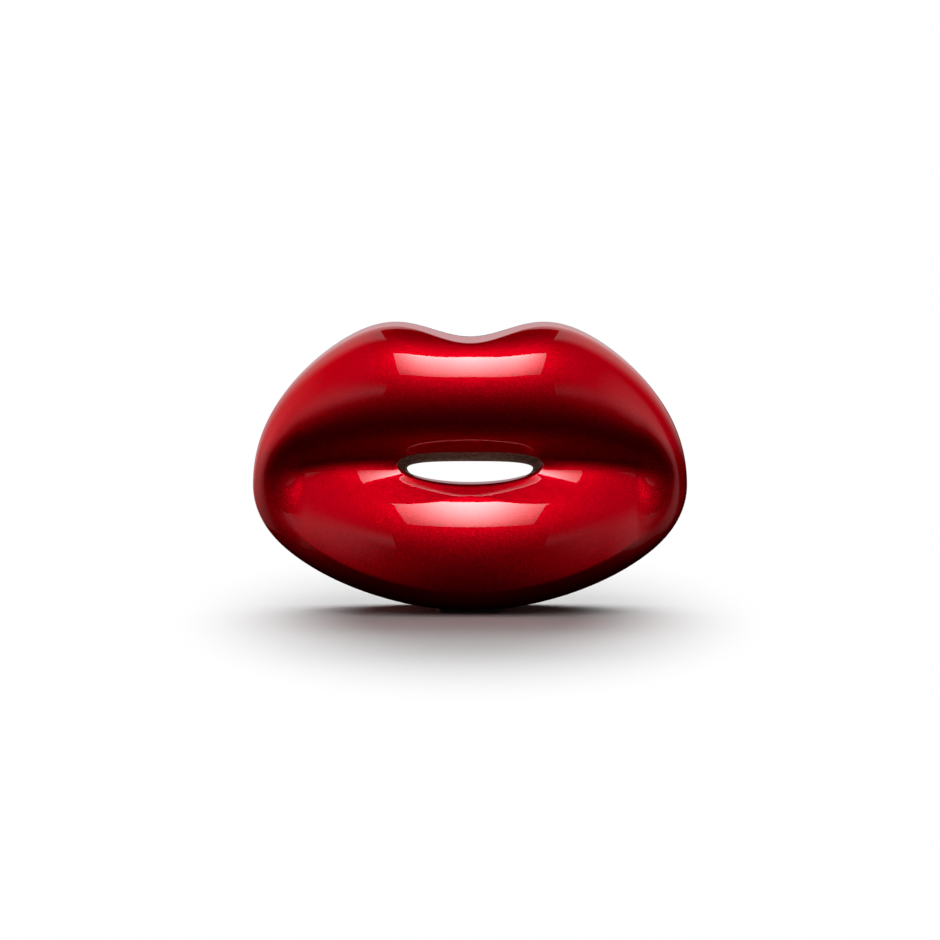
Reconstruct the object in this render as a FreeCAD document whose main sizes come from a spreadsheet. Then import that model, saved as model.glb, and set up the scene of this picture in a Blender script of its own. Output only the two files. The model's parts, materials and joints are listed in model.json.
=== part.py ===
"""A telephone in one piece, shaped as a pair of lips and standing on its lower lip.

x runs to the right seen from the front, y to the rear and z up. The origin is the
middle of the rubber sole's underside, so the floor is z = 0. All lengths are millimetres.
"""
import FreeCAD
import Part
import math
import os
import re
import Sketcher

doc = FreeCAD.newDocument("lips_telephone")
sheet = doc.addObject("Spreadsheet::Sheet", "sizes")

SIZES = [
    # the lips seen from the front
    ("half_width", 107.5, "corner of the mouth shape from the middle"),
    ("upper_rise", 92.3, "upper lip above the corners, before the bow's dip"),
    ("upper_shoulder", 15.0, "how much the upper lip's shoulder falls"),
    ("upper_corner", 11.2, "how much the upper lip fills out at its corner"),
    ("bow_dip", 19.9, "depth of the dip in the upper lip's bow"),
    ("bow_width", 32.4, "spread of that dip"),
    ("lower_rise", 61.3, "lower lip below the corners"),
    ("lower_shoulder", 7.7, "how much the lower lip's shoulder falls"),
    ("lower_corner", 7.2, "how much the lower lip fills out at its corner"),
    ("mouth_lift", 11.4, "corners of the open mouth above the lips' corners"),
    ("mouth_half", 35.6, "half the length of the open mouth"),
    ("mouth_rise", 5.9, "upper edge of the mouth above its corners"),
    ("mouth_drop", 9.6, "lower edge of the mouth below its corners"),
    ("mouth_square", 0.35, "how square the mouth's upper edge is"),
    # the lips from the side
    ("parting", 17.0, "seam of shell and cover behind the sole's middle"),
    ("skirt_depth", 28.0, "straight side in front of the seam"),
    ("corner_back", 10.0, "how far the lips curve back at the corners"),
    ("lip_crown", 29.0, "swell of the lips in front of the straight side"),
    ("lip_full", 2.3, "fullness of that swell, 2 for a round one"),
    ("upper_taper", 0.5, "how fast the upper lip thins to the corners"),
    ("lower_taper", 0.8, "how fast the lower lip thins to the corners"),
    ("bow_fill", 6.5, "how far the swell bridges the bow's dip"),
    ("bow_fill_width", 20.0, "spread of that bridge"),
    ("valley_lift", 13.0, "valley between the lips above the corners"),
    ("valley_depth", 29.0, "depth of that valley"),
    ("valley_up", 10.5, "reach of the valley up the upper lip"),
    ("valley_down", 25.5, "reach of the valley down the lower lip"),
    ("valley_floor", 9.0, "rounding of the valley's floor"),
    ("valley_fade", 0.7, "how the valley fades to the corners"),
    ("valley_end", 0.24, "part of the half width over which the valley runs out"),
    ("wall", 2.6, "wall of shell and cover"),
    # rear cover
    ("cover_depth", 6.0, "cover behind the seam"),
    ("cover_edge", 3.6, "rounding of the cover's edge"),
    ("lip_gap", 0.25, "room round the cover's locating lip"),
    ("lip_thick", 1.6, "thickness of the locating lip"),
    ("lip_reach", 3.5, "how far the locating lip goes into the shell"),
    # mouth liner
    ("liner_gap", 0.25, "room round the liner"),
    ("liner_wall", 1.1, "wall of the liner"),
    ("collar_depth", 7.0, "straight collar of the shell behind the rim's corners"),
    ("liner_flange", 1.6, "thickness of the liner's flange"),
    ("liner_lap", 2.5, "how far the flange's edge laps the collar"),
    ("duct_half", 31.6, "half the length of the liner's rear opening"),
    ("duct_rise", 3.4, "upper edge of the rear opening above its corners"),
    ("duct_drop", 8.2, "lower edge of the rear opening below its corners"),
    ("duct_fall", 5.4, "fall of the duct from front to rear"),
    # fasteners
    ("screw_dia", 2.9, "cover screws"),
    ("screw_long", 15.0, "shank of a cover screw"),
    ("head_dia", 5.6, "head of a cover screw"),
    ("head_high", 2.2, "height of that head"),
    ("head_sunk", 0.6, "head below the cover's face"),
    ("boss_dia", 9.0, "bosses for cover screws"),
    ("fit_gap", 0.15, "room round screws and pegs"),
    ("small_dia", 2.2, "small screws inside"),
    ("small_long", 6.0, "shank of a small screw"),
    ("small_head", 4.2, "head of a small screw"),
    ("small_high", 1.5, "height of that head"),
    ("post_dia", 6.0, "posts for small screws"),
    ("side_screw_inset", 15.5, "side screws from the lips' corners"),
    ("side_screw_rise", 2.0, "side screws above the corners"),
    ("top_screw_x", 52.0, "upper screws from the middle"),
    ("top_screw_rise", 57.0, "upper screws above the corners"),
    ("low_screw_x", 48.0, "lower screws from the middle"),
    ("low_screw_rise", 19.0, "lower screws above the floor"),
    # sole and hook
    ("sole_proud", 1.2, "sole below the lower lip"),
    ("sole_long", 32.0, "sole across"),
    ("sole_wide", 22.0, "sole front to rear"),
    ("sole_thick", 3.0, "thickness of the sole"),
    ("sole_corner", 4.0, "rounding of its corners"),
    ("sole_gap", 0.2, "room round the sole in its pocket"),
    ("floor_block", 6.5, "inside floor above the sole's pocket"),
    ("plunger_back", 6.0, "hook plunger behind the sole's middle"),
    ("plunger_dia", 8.0, "hook plunger"),
    ("plunger_gap", 0.3, "room round the plunger"),
    ("plunger_recess", 0.2, "plunger's end above the floor while it stands"),
    ("hook_travel", 4.0, "travel of the plunger"),
    ("hook_stop", 0.5, "room past the end of that travel"),
    ("guide_dia", 14.0, "guide round the plunger"),
    ("guide_top", 13.0, "top of that guide above the floor"),
    ("collar_dia", 11.6, "plunger's collar under the spring"),
    ("collar_thick", 1.8, "thickness of that collar"),
    ("spindle_dia", 4.4, "plunger's spindle inside the spring"),
    ("coil_dia", 7.6, "mean diameter of the hook spring"),
    ("wire_dia", 0.9, "wire of the hook spring"),
    ("coil_count", 6, "turns of the hook spring"),
    ("spring_long", 12.0, "spring with the plunger pushed in"),
    ("yoke_thick", 2.0, "yoke over the spring"),
    ("yoke_half", 12.0, "inside of the yoke's legs from the plunger"),
    ("yoke_wide", 11.0, "yoke front to rear"),
    ("yoke_foot", 8.0, "feet of the yoke"),
    ("switch_long", 13.0, "hook switch across"),
    ("switch_wide", 6.0, "hook switch front to rear"),
    ("switch_high", 6.6, "hook switch upright"),
    ("switch_button", 1.0, "button of the hook switch"),
    ("arm_thick", 1.6, "arm on the spindle"),
    # ballast
    ("ballast_long", 64.0, "ballast across"),
    ("ballast_high", 13.0, "ballast upright"),
    ("ballast_thick", 13.0, "ballast front to rear"),
    ("ballast_front", 20.0, "ballast's front face before the sole's middle"),
    ("ballast_rise", 12.0, "ballast above the floor"),
    ("ballast_screw_x", 22.0, "ballast screws from the middle"),
    # keypad
    ("key_wide", 10.4, "key across"),
    ("key_high", 7.0, "key upright"),
    ("key_pitch_x", 14.0, "columns of keys"),
    ("key_pitch_z", 9.4, "rows of keys"),
    ("keypad_rise", 30.5, "middle of the keypad above the floor"),
    ("key_proud", 2.0, "key's face behind the cover"),
    ("key_travel", 1.6, "travel of a key"),
    ("key_gap", 0.3, "room round a key"),
    ("key_flange", 0.8, "flange round a key"),
    ("key_flange_thick", 1.0, "thickness of that flange"),
    ("key_round", 1.2, "rounding of a key's corners"),
    ("key_stem_dia", 4.0, "stem under a key"),
    ("key_stem", 2.0, "length of that stem"),
    ("bezel_thick", 1.6, "bezel round the keys"),
    ("bezel_ledge", 1.6, "ledge under the bezel"),
    ("bezel_room", 1.0, "room outside the keys' flanges"),
    ("bezel_round", 3.0, "rounding of the bezel's corners"),
    ("mat_thick", 1.0, "contact mat"),
    ("dome_dia", 7.0, "dome of the mat"),
    ("dome_high", 1.4, "height of a dome"),
    ("board_thick", 1.6, "circuit boards"),
    ("keypad_board_half", 29.5, "keypad board across, half"),
    ("keypad_board_tall", 38.0, "keypad board upright"),
    ("keypad_post_x", 25.8, "keypad posts from the middle"),
    ("keypad_post_z", 13.0, "keypad posts from the keypad's middle"),
    # receiver
    ("receiver_inset", 43.5, "receiver from the lips' corner"),
    ("receiver_rise", 6.0, "receiver above the corners"),
    ("receiver_dia", 33.0, "receiver capsule"),
    ("receiver_deep", 9.0, "depth of the capsule"),
    ("receiver_wall", 1.2, "wall of the capsule"),
    ("cone_thick", 0.6, "diaphragm"),
    ("cone_fall", 3.0, "depth of the diaphragm's dish"),
    ("magnet_dia", 15.0, "magnet of the receiver"),
    ("magnet_high", 3.6, "height of that magnet"),
    ("gasket_thick", 1.2, "foam ring under the capsule"),
    ("gasket_wide", 3.4, "width of that ring"),
    ("grille_dia", 36.0, "receiver grille"),
    ("grille_thick", 1.6, "thickness of the grilles"),
    ("grille_ledge", 2.4, "ledge under the grilles"),
    ("grille_hole", 2.4, "holes of the receiver grille"),
    ("grille_ring", 5.4, "step between rings of holes"),
    ("grille_gap", 0.15, "room round the grilles"),
    ("receiver_post", 21.5, "clamp posts from the receiver's middle"),
    ("clamp_thick", 1.6, "clamp over the capsule"),
    ("clamp_wide", 9.0, "width of that clamp"),
    # microphone
    ("mic_inset", 35.5, "microphone from the lips' corner"),
    ("mic_rise", 2.0, "microphone above the corners"),
    ("mic_dia", 9.7, "microphone capsule"),
    ("mic_deep", 6.5, "depth of that capsule"),
    ("boot_wall", 2.4, "rubber boot round it"),
    ("boot_floor", 1.2, "boot's front wall"),
    ("socket_wall", 1.8, "tube of the cover that holds the boot"),
    ("mic_grille_dia", 13.0, "microphone grille"),
    ("mic_hole", 1.6, "holes of that grille"),
    # ringer
    ("ringer_x", 34.0, "ringer left of the middle"),
    ("ringer_rise", 42.0, "ringer above the corners"),
    ("ringer_dia", 27.0, "sounding disc"),
    ("ringer_thick", 0.5, "thickness of that disc"),
    ("chamber_wall", 1.8, "wall of the sound chamber"),
    ("chamber_deep", 6.0, "depth of the chamber"),
    ("chamber_seat", 1.0, "seat of the disc in it"),
    ("vent_long", 22.0, "ringer grille across"),
    ("vent_high", 12.0, "ringer grille upright"),
    ("vent_slot", 1.8, "slots of that grille"),
    ("vent_pitch", 3.6, "step between those slots"),
    # main board
    ("main_clear", 4.5, "main board from the receiver's clamp"),
    ("ringer_clear", 7.5, "main board from the sound chamber"),
    ("main_rise", 39.0, "its middle above the corners"),
    ("main_high", 25.0, "main board upright"),
    ("main_stand", 10.0, "board in front of the cover's wall"),
    ("main_post", 3.4, "posts from the board's edges"),
    ("coil_long", 18.0, "line transformer across"),
    ("coil_high", 15.0, "line transformer upright"),
    ("coil_deep", 13.0, "line transformer front to rear"),
    ("can_dia", 8.0, "capacitors"),
    ("can_deep", 11.5, "length of a capacitor"),
    ("can_pitch", 10.0, "step between capacitors"),
    ("can_rise", 5.5, "capacitors above the board's middle"),
    ("chip_long", 20.0, "dialling circuit across"),
    ("chip_high", 7.0, "dialling circuit upright"),
    ("chip_deep", 3.6, "dialling circuit front to rear"),
    ("chip_fall", 5.0, "dialling circuit below the board's middle"),
    # slide switches
    ("slide_x", 38.0, "slide switches from the middle"),
    ("slide_rise", 36.0, "slide switches above the floor"),
    ("slide_long", 15.0, "slide switch upright"),
    ("slide_wide", 7.4, "slide switch across"),
    ("slide_deep", 6.0, "slide switch front to rear"),
    ("knob_long", 4.0, "knob upright"),
    ("knob_wide", 3.0, "knob across"),
    ("knob_proud", 1.6, "knob behind the cover"),
    ("knob_in", 3.2, "knob inside the switch"),
    ("knob_travel", 4.0, "travel of a knob"),
    ("knob_gap", 0.3, "room round a knob"),
    # line socket
    ("jack_x", 54.0, "line socket left of the middle"),
    ("jack_rise", 36.0, "line socket above the floor"),
    ("jack_wide", 13.4, "line socket across"),
    ("jack_high", 12.4, "line socket upright"),
    ("jack_deep", 16.0, "line socket front to rear"),
    ("jack_bore_wide", 9.8, "plug's way across"),
    ("jack_bore_high", 6.8, "plug's way upright"),
    ("jack_bore_deep", 12.0, "depth of the plug's way"),
    ("latch_wide", 6.2, "way of the plug's latch across"),
    ("latch_high", 2.2, "way of the plug's latch upright"),
    ("jack_flange", 1.6, "flange inside the cover"),
    ("jack_flange_thick", 1.4, "thickness of that flange"),
    ("jack_gap", 0.2, "room round the socket"),
    ("contact_dia", 0.6, "contact wires"),
    ("contact_pitch", 1.4, "step between contact wires"),
]

for number, (name, amount, note) in enumerate(SIZES, 1):
    sheet.set("A%d" % number, name)
    sheet.set("B%d" % number, "%g" % amount)
    sheet.set("C%d" % number, note)
    sheet.setAlias("B%d" % number, name)
doc.recompute()

NAMES = {entry[0] for entry in SIZES}

# places that several pieces share, each written once in the sheet's words
PLACES = {
    "corner_z": "(sole_proud + lower_rise)",
    "mouth_z": "(sole_proud + lower_rise + mouth_lift)",
    "back": "(parting + cover_depth)",
    "inner": "(parting + cover_depth - wall)",
    "side_x": "(half_width - side_screw_inset)",
    "side_z": "(sole_proud + lower_rise + side_screw_rise)",
    "top_z": "(sole_proud + lower_rise + top_screw_rise)",
    "head_seat": "(parting + cover_depth - head_sunk - head_high)",
    "receiver_x": "(half_width - receiver_inset)",
    "receiver_z": "(sole_proud + lower_rise + receiver_rise)",
    "mic_x": "(mic_inset - half_width)",
    "mic_z": "(sole_proud + lower_rise + mic_rise)",
    "ringer_z": "(sole_proud + lower_rise + ringer_rise)",
    "main_z": "(sole_proud + lower_rise + main_rise)",
    "main_back": "(parting + cover_depth - wall - main_stand)",
    "main_right": "(half_width - receiver_inset - clamp_wide / 2 - main_clear)",
    "main_left": "(ringer_dia / 2 + fit_gap + chamber_wall + ringer_clear - ringer_x)",
    "key_seat": "(parting + cover_depth - bezel_thick)",
    "stem_end": "(parting + cover_depth - bezel_thick - key_flange_thick - key_stem)",
    "dome_top": "(parting + cover_depth - bezel_thick - key_flange_thick - key_stem - key_travel - key_gap)",
    "bezel_half_x": "(key_pitch_x + key_wide / 2 + key_flange + bezel_room + bezel_ledge)",
    "bezel_half_z": "(1.5 * key_pitch_z + key_high / 2 + key_flange + bezel_room + bezel_ledge)",
    "collar_low": "(guide_top + hook_travel + hook_stop)",
    "spring_low": "(guide_top + hook_travel + hook_stop + collar_thick)",
    "roof": "(guide_top + hook_travel + hook_stop + collar_thick + spring_long)",
}
PLACES["main_x"] = "(" + PLACES["main_right"] + " / 2 + " + PLACES["main_left"] + " / 2)"
PLACES["main_long"] = "(" + PLACES["main_right"] + " - " + PLACES["main_left"] + ")"
PLACES["mat_back"] = "(" + PLACES["dome_top"] + " - dome_high)"
PLACES["keypad_face"] = "(" + PLACES["mat_back"] + " - mat_thick)"
PLACES["capsule_back"] = "(" + PLACES["inner"] + " - gasket_thick)"
PLACES["capsule_front"] = "(" + PLACES["capsule_back"] + " - receiver_deep)"
PLACES["arm_low"] = "(" + PLACES["roof"] + " + yoke_thick + switch_high + switch_button + hook_travel + hook_stop)"


def words(text):
    """the same text with shared places written out and sheet names given their sheet"""
    def swap(match):
        word = match.group(0)
        if word in PLACES:
            return words(PLACES[word])
        return "sizes." + word if word in NAMES else word
    return re.sub(r"[a-z_]+", swap, text)


def val(text):
    """the number that a text in the sheet's words stands for"""
    return float(sheet.evalExpression(words(text)))


def tie(thing, prop, text):
    thing.setExpression(prop, words(text))


def place(thing, x, y, z):
    for axis, text in zip("xyz", (x, y, z)):
        tie(thing, "Placement.Base." + axis, text)
    return thing


def box(name, x, y, z):
    """a block between pairs of faces"""
    thing = doc.addObject("Part::Box", name)
    for prop, (low, high) in (("Length", x), ("Width", y), ("Height", z)):
        tie(thing, prop, "(%s) - (%s)" % (high, low))
    return place(thing, x[0], y[0], z[0])


def block(name, x, y, z, wide, high):
    """a block on the axis x, z between two values of y"""
    return box(name, ("%s - (%s) / 2" % (x, wide), "%s + (%s) / 2" % (x, wide)), y,
               ("%s - (%s) / 2" % (z, high), "%s + (%s) / 2" % (z, high)))


def rod(name, x, z, y, dia):
    """a cylinder along y"""
    thing = doc.addObject("Part::Cylinder", name)
    thing.Placement.Rotation = FreeCAD.Rotation(FreeCAD.Vector(1, 0, 0), -90)
    tie(thing, "Radius", "(%s) / 2" % dia)
    tie(thing, "Height", "(%s) - (%s)" % (y[1], y[0]))
    return place(thing, x, y[0], z)


def peg(name, x, y, z, dia):
    """a cylinder along z"""
    thing = doc.addObject("Part::Cylinder", name)
    tie(thing, "Radius", "(%s) / 2" % dia)
    tie(thing, "Height", "(%s) - (%s)" % (z[1], z[0]))
    return place(thing, x, y, z[0])


def fuse(name, *things):
    if len(things) == 1:
        return things[0]
    whole = doc.addObject("Part::MultiFuse", name)
    whole.Shapes = list(things)
    whole.Refine = True
    return whole


def cut(name, base, *tools):
    thing = doc.addObject("Part::Cut", name)
    thing.Base = base
    thing.Tool = fuse(name + "_tool", *tools)
    thing.Refine = False
    return thing


def common(name, first, second):
    thing = doc.addObject("Part::Common", name)
    thing.Base = first
    thing.Tool = second
    return thing


def group(name, things):
    whole = doc.addObject("Part::Compound", name)
    whole.Links = list(things)
    return whole


def form(name, shape):
    thing = doc.addObject("Part::Feature", name)
    thing.Shape = shape
    return thing


NODES = []


def node(thing, label):
    thing.Label = label
    NODES.append(thing)
    return thing


def plane_of(body, role):
    return [item for item in body.Origin.OriginFeatures if item.Role == role][0]


def outline_sketch(body, role, points):
    """a closed polygon with every corner held by two sheet values"""
    sketch = body.newObject("Sketcher::SketchObject", body.Name + "_sketch")
    sketch.AttachmentSupport = [(plane_of(body, role), "")]
    sketch.MapMode = "FlatFace"
    spots = [FreeCAD.Vector(val(a), val(b), 0) for a, b in points]
    count = len(spots)
    for i in range(count):
        sketch.addGeometry(Part.LineSegment(spots[i], spots[(i + 1) % count]), False)
    for i in range(count):
        sketch.addConstraint(Sketcher.Constraint("Coincident", i, 2, (i + 1) % count, 1))
    for i, pair in enumerate(points):
        for kind, text, amount in (("DistanceX", pair[0], spots[i].x), ("DistanceY", pair[1], spots[i].y)):
            if text == "0":
                side = -2 if kind == "DistanceX" else -1
                sketch.addConstraint(Sketcher.Constraint("PointOnObject", i, 1, side))
                continue
            held = sketch.addConstraint(Sketcher.Constraint(kind, -1, 1, i, 1, amount))
            sketch.setExpression("Constraints[%d]" % held, words(text))
    return sketch


def turned(name, points, x, y, z, upright=False):
    """a turned piece: radius and height along y, or along z where it stands upright"""
    body = doc.addObject("PartDesign::Body", name)
    sketch = outline_sketch(body, "XZ_Plane" if upright else "XY_Plane", points)
    spin = body.newObject("PartDesign::Revolution", name + "_turn")
    spin.Profile = sketch
    spin.ReferenceAxis = (sketch, ["V_Axis"])
    spin.Angle = 360
    sketch.Visibility = False
    return place(body, x, y, z)


def plate(name, half_x, half_z, thick, x, back, z, rounding=None):
    """a rectangular plate with its rear face at a value of y"""
    body = doc.addObject("PartDesign::Body", name)
    corners = [("0 - (%s)" % half_x, "0 - (%s)" % half_z), (half_x, "0 - (%s)" % half_z),
               (half_x, half_z), ("0 - (%s)" % half_x, half_z)]
    sketch = outline_sketch(body, "XZ_Plane", corners)
    pad = body.newObject("PartDesign::Pad", name + "_pad")
    pad.Profile = sketch
    tie(pad, "Length", thick)
    if rounding:
        doc.recompute()
        edges = ["Edge%d" % (i + 1) for i, edge in enumerate(pad.Shape.Edges)
                 if abs(edge.tangentAt(edge.FirstParameter).y) > 0.9]
        fillet = body.newObject("PartDesign::Fillet", name + "_corners")
        fillet.Base = (pad, edges)
        tie(fillet, "Radius", rounding)
    return place(body, x, back, z)


# the lips as a surface

def smooth(w):
    w = min(1.0, max(0.0, w))
    return w * w * (3 - 2 * w)


class Lips:
    """the lips' form, drawn in by an inset on every side"""

    def __init__(self, inset):
        self.full_width = val("half_width")
        self.width = val("half_width") - inset
        self.upper = val("upper_rise") - inset
        self.lower = val("lower_rise") - inset
        self.crown = val("lip_crown") - inset * 1.1
        self.half = val("mouth_half") + inset * 1.3
        self.rise = val("mouth_rise") + inset
        self.drop = val("mouth_drop") + inset
        self.square = val("mouth_square")
        self.corner = val("corner_z")
        self.mouth = val("mouth_z")
        self.skirt = val("parting - skirt_depth")
        self.back = val("corner_back")
        self.full = val("lip_full")
        self.taper = (val("lower_taper"), val("upper_taper"))
        self.valley = val("valley_depth")
        self.valley_z = val("corner_z + valley_lift")
        self.slopes = (val("valley_down"), val("valley_up"))
        self.floor = val("valley_floor")
        self.fade = val("valley_fade")
        self.end = val("valley_end")
        self.upper_form = (val("upper_shoulder"), val("upper_corner"))
        self.lower_form = (val("lower_shoulder"), val("lower_corner"))
        self.dip = (val("bow_dip"), val("bow_width"))
        self.fill = (val("bow_fill"), val("bow_fill_width"))

    def upper_edge(self, x):
        c2 = min(1.0, (x / self.width) ** 2)
        rise = self.upper - self.upper_form[0] * c2 + self.upper_form[1] * c2 * c2
        return self.corner + math.sqrt(1 - c2) * rise - self.dip[0] * math.exp(-(x / self.dip[1]) ** 2)

    def lower_edge(self, x):
        c2 = min(1.0, (x / self.width) ** 2)
        rise = self.lower - self.lower_form[0] * c2 + self.lower_form[1] * c2 * c2
        return self.corner - math.sqrt(1 - c2) * rise

    def reach(self, x, above):
        """from the valley's line to the outer edge, with the bow's dip bridged"""
        line = self.valley_z + (self.corner - self.valley_z) * (x / self.full_width) ** 4
        if above:
            return line, self.upper_edge(x) + self.fill[0] * math.exp(-(x / self.fill[1]) ** 2) - line
        return line, line - self.lower_edge(x)

    def cushion(self, x, z):
        """a full cushion with a valley between the lips"""
        above = z > self.reach(x, True)[0]
        line, reach = self.reach(x, above)
        v = min(1.0, abs(z - line) / max(reach, 1e-6))
        section = (1 - v ** self.full) ** (1 / self.full)
        narrow = max(1 - (x / self.width) ** 2, 0.0)
        taper = self.taper[0] + (self.taper[1] - self.taper[0]) * smooth(0.5 + (z - line) / 40)
        slope = self.slopes[above] * math.sqrt(max(reach / self.reach(0, above)[1], 0.02))
        away = math.hypot(z - line, self.floor) - self.floor
        valley = self.valley * max(1 - (x / self.full_width) ** 2, 0.0) ** self.fade
        valley *= smooth((1 - abs(x) / self.full_width) / self.end)
        return self.crown * narrow ** taper * section - valley * math.exp(-away / slope), above

    def swell(self, x, z):
        """how far the lips stand before the straight side at a point of the front view"""
        f, above = self.cushion(x, z)
        if not above or f <= 0:
            return f
        # the bow's dip cuts into the cushion with a rounded edge
        top = self.upper_edge(x)
        under = max(top - z, 0.0)
        edge = 0.65 * max(self.cushion(x, top)[0], 0.0)
        edge += 26 * math.sqrt(1 - (1 - min(under / 14, 1)) ** 2) + 2 * under
        return (f ** -6 + max(edge, 1e-3) ** -6) ** (-1 / 6)

    def point(self, turn, across):
        """turn runs round the mouth, across from the outer edge to the rim"""
        c, s = math.cos(turn), math.sin(turn)
        xo = self.width * c
        zo = self.upper_edge(xo) if s >= 0 else self.lower_edge(xo)
        xi = self.half * c
        zi = self.mouth + s * (self.rise * (1 + self.square * c * c) if s >= 0 else self.drop)
        t = (1 - math.cos(across)) / 2
        x = xo + (xi - xo) * t
        z = zo + (zi - zo) * t
        y = self.skirt - self.swell(x, z) + self.back * (x / self.width) ** 2
        return FreeCAD.Vector(x, y, z)


TURNS = 64
ROWS = 20
SPARE = 2


def crown_face(lips):
    """the right half of the lips' front as one smooth face"""
    step = math.pi / TURNS
    grid = []
    for i in range(-SPARE, TURNS + SPARE + 1):
        turn = -math.pi / 2 + i * step
        grid.append([lips.point(turn, math.pi * j / ROWS) for j in range(ROWS + 1)])
    surface = Part.BSplineSurface()
    surface.interpolate(grid)
    marks = surface.getUKnots()
    v0, v1 = surface.bounds()[2:]
    surface.segment(marks[SPARE], marks[len(marks) - 1 - SPARE], v0, v1)
    return surface


def flattened(curve, y):
    """the same curve laid on a plane across y"""
    flat = curve.copy()
    for i, pole in enumerate(flat.getPoles(), 1):
        flat.setPole(i, FreeCAD.Vector(pole.x, y, pole.z))
    return flat


def both_halves(things):
    """pieces of the right half and their mirror images"""
    axis = FreeCAD.Vector(1, 0, 0)
    return list(things) + [thing.mirror(FreeCAD.Vector(0, 0, 0), axis) for thing in things]


def lips_solid(inset, back):
    """the lips as a ring round the open mouth, from their front to a plane across y"""
    surface = crown_face(Lips(inset))
    u0, u1, v0, v1 = surface.bounds()
    outer, rim = surface.vIso(v0), surface.vIso(v1)
    outer_flat, rim_flat = flattened(outer, back), flattened(rim, back)
    side = Part.makeRuledSurface(outer.toShape(), outer_flat.toShape())
    tunnel = Part.makeRuledSurface(rim.toShape(), rim_flat.toShape())
    faces = both_halves([surface.toShape(), side, tunnel])
    rings = [Part.Wire(Part.sortEdges(both_halves([flat.toShape()]))[0]) for flat in (outer_flat, rim_flat)]
    faces.append(Part.makeFace(rings, "Part::FaceMakerBullseye"))
    shell = Part.makeShell(faces)
    shell.sewShape(1e-5)
    solid = Part.makeSolid(shell)
    if solid.Volume < 0:
        solid.reverse()
    return solid


def outline_wire(inset, y):
    """the lips' outer edge, drawn in, on a plane across y"""
    surface = crown_face(Lips(inset))
    flat = flattened(surface.vIso(surface.bounds()[2]), y)
    return Part.Wire(Part.sortEdges(both_halves([flat.toShape()]))[0])


def outline_block(inset, low, high):
    face = Part.Face(outline_wire(inset, low))
    return face.extrude(FreeCAD.Vector(0, high - low, 0))


def lens_wire(half, rise, drop, z, y):
    """a mouth-shaped wire across y"""
    spots = []
    for i in range(48):
        c, s = math.cos(math.pi * i / 24), math.sin(math.pi * i / 24)
        tall = rise * (1 + val("mouth_square") * c * c) if s >= 0 else drop
        spots.append(FreeCAD.Vector(half * c, y, z + s * tall))
    curve = Part.BSplineCurve()
    curve.interpolate(spots, PeriodicFlag=True)
    return Part.Wire(curve.toShape())


def mouth_wire(grow, y):
    return lens_wire(val("mouth_half") + grow, val("mouth_rise") + grow, val("mouth_drop") + grow,
                     val("mouth_z"), y)


def collar_wire(grow, y):
    """the outside of the shell's collar round the mouth"""
    return lens_wire(val("mouth_half + 1.3 * wall") + grow, val("mouth_rise + wall") + grow,
                     val("mouth_drop + wall") + grow, val("mouth_z"), y)


def duct_wire(grow, y):
    return lens_wire(val("duct_half") + grow, val("duct_rise") + grow, val("duct_drop") + grow,
                     val("mouth_z - duct_fall"), y)


def lens_block(wire, long):
    return Part.Face(wire).extrude(FreeCAD.Vector(0, long, 0))


def sides(name, make, places):
    return [make("%s_%d" % (name, i), *spot) for i, spot in enumerate(places)]


# screw places: x and z in the sheet's words
COVER_SCREWS = [("side_x", "side_z"), ("0 - side_x", "side_z"), ("top_screw_x", "top_z"), ("0 - top_screw_x", "top_z"),
                ("low_screw_x", "low_screw_rise"), ("0 - low_screw_x", "low_screw_rise")]
KEYPAD_POSTS = [(x, "keypad_rise " + z) for x in ("keypad_post_x", "0 - keypad_post_x")
                for z in ("+ keypad_post_z", "- keypad_post_z")]
MAIN_POSTS = [("main_x " + x, "main_z " + z) for x in ("+ main_long / 2 - main_post", "- main_long / 2 + main_post")
              for z in ("+ main_high / 2 - main_post", "- main_high / 2 + main_post")]
RECEIVER_POSTS = [("receiver_x", "receiver_z + receiver_post"), ("receiver_x", "receiver_z - receiver_post")]
BALLAST_SCREWS = [(x, "ballast_rise + ballast_high / 2") for x in ("ballast_screw_x", "0 - ballast_screw_x")]

# front shell: a moulded wall that follows the lips, with its bosses
seam = val("parting")
collar_end = Lips(0).point(0, math.pi).y + val("collar_depth")
outside = form("lips_outside", lips_solid(0, seam))
hollow = form("lips_hollow", lips_solid(val("wall"), seam + 1))
middle = form("lips_middle", lips_solid(val("wall") / 2, seam))
behind_collar = form("behind_collar", lens_block(collar_wire(val("wall"), collar_end), seam + 1 - collar_end))
skin = cut("shell_skin", outside, hollow, behind_collar)
lip_room = form("lip_room", outline_block(val("wall"), seam - val("lip_reach + 1"), seam + 1))

bosses = sides("cover_boss", lambda n, x, z: rod(n, x, z, ("0 - lip_crown - skirt_depth", "parting"), "boss_dia"),
               COVER_SCREWS)
bosses += sides("ballast_boss",
                lambda n, x, z: rod(n, x, z, ("0 - lip_crown - skirt_depth", "0 - ballast_front"), "boss_dia"),
                BALLAST_SCREWS)
bosses.append(peg("hook_guide", "0", "plunger_back", ("0", "guide_top"), "guide_dia"))
bosses.append(box("sole_floor", ("0 - yoke_half - yoke_thick - yoke_foot", "yoke_half + yoke_thick + yoke_foot"),
                  ("0 - sole_wide / 2 - wall", "sole_wide / 2 + wall / 2"), ("0", "floor_block")))
inside = common("bosses_inside", fuse("bosses", *bosses), middle)
bores = sides("cover_pilot", lambda n, x, z: rod(n, x, z, ("head_seat - screw_long - 1", "parting + 1"),
                                                 "screw_dia + 2 * fit_gap"), COVER_SCREWS)
bores += sides("ballast_pilot", lambda n, x, z: rod(n, x, z, ("0 - ballast_front - small_long", "0 - ballast_front + 1"),
                                                    "small_dia + 2 * fit_gap"), BALLAST_SCREWS)
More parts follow.
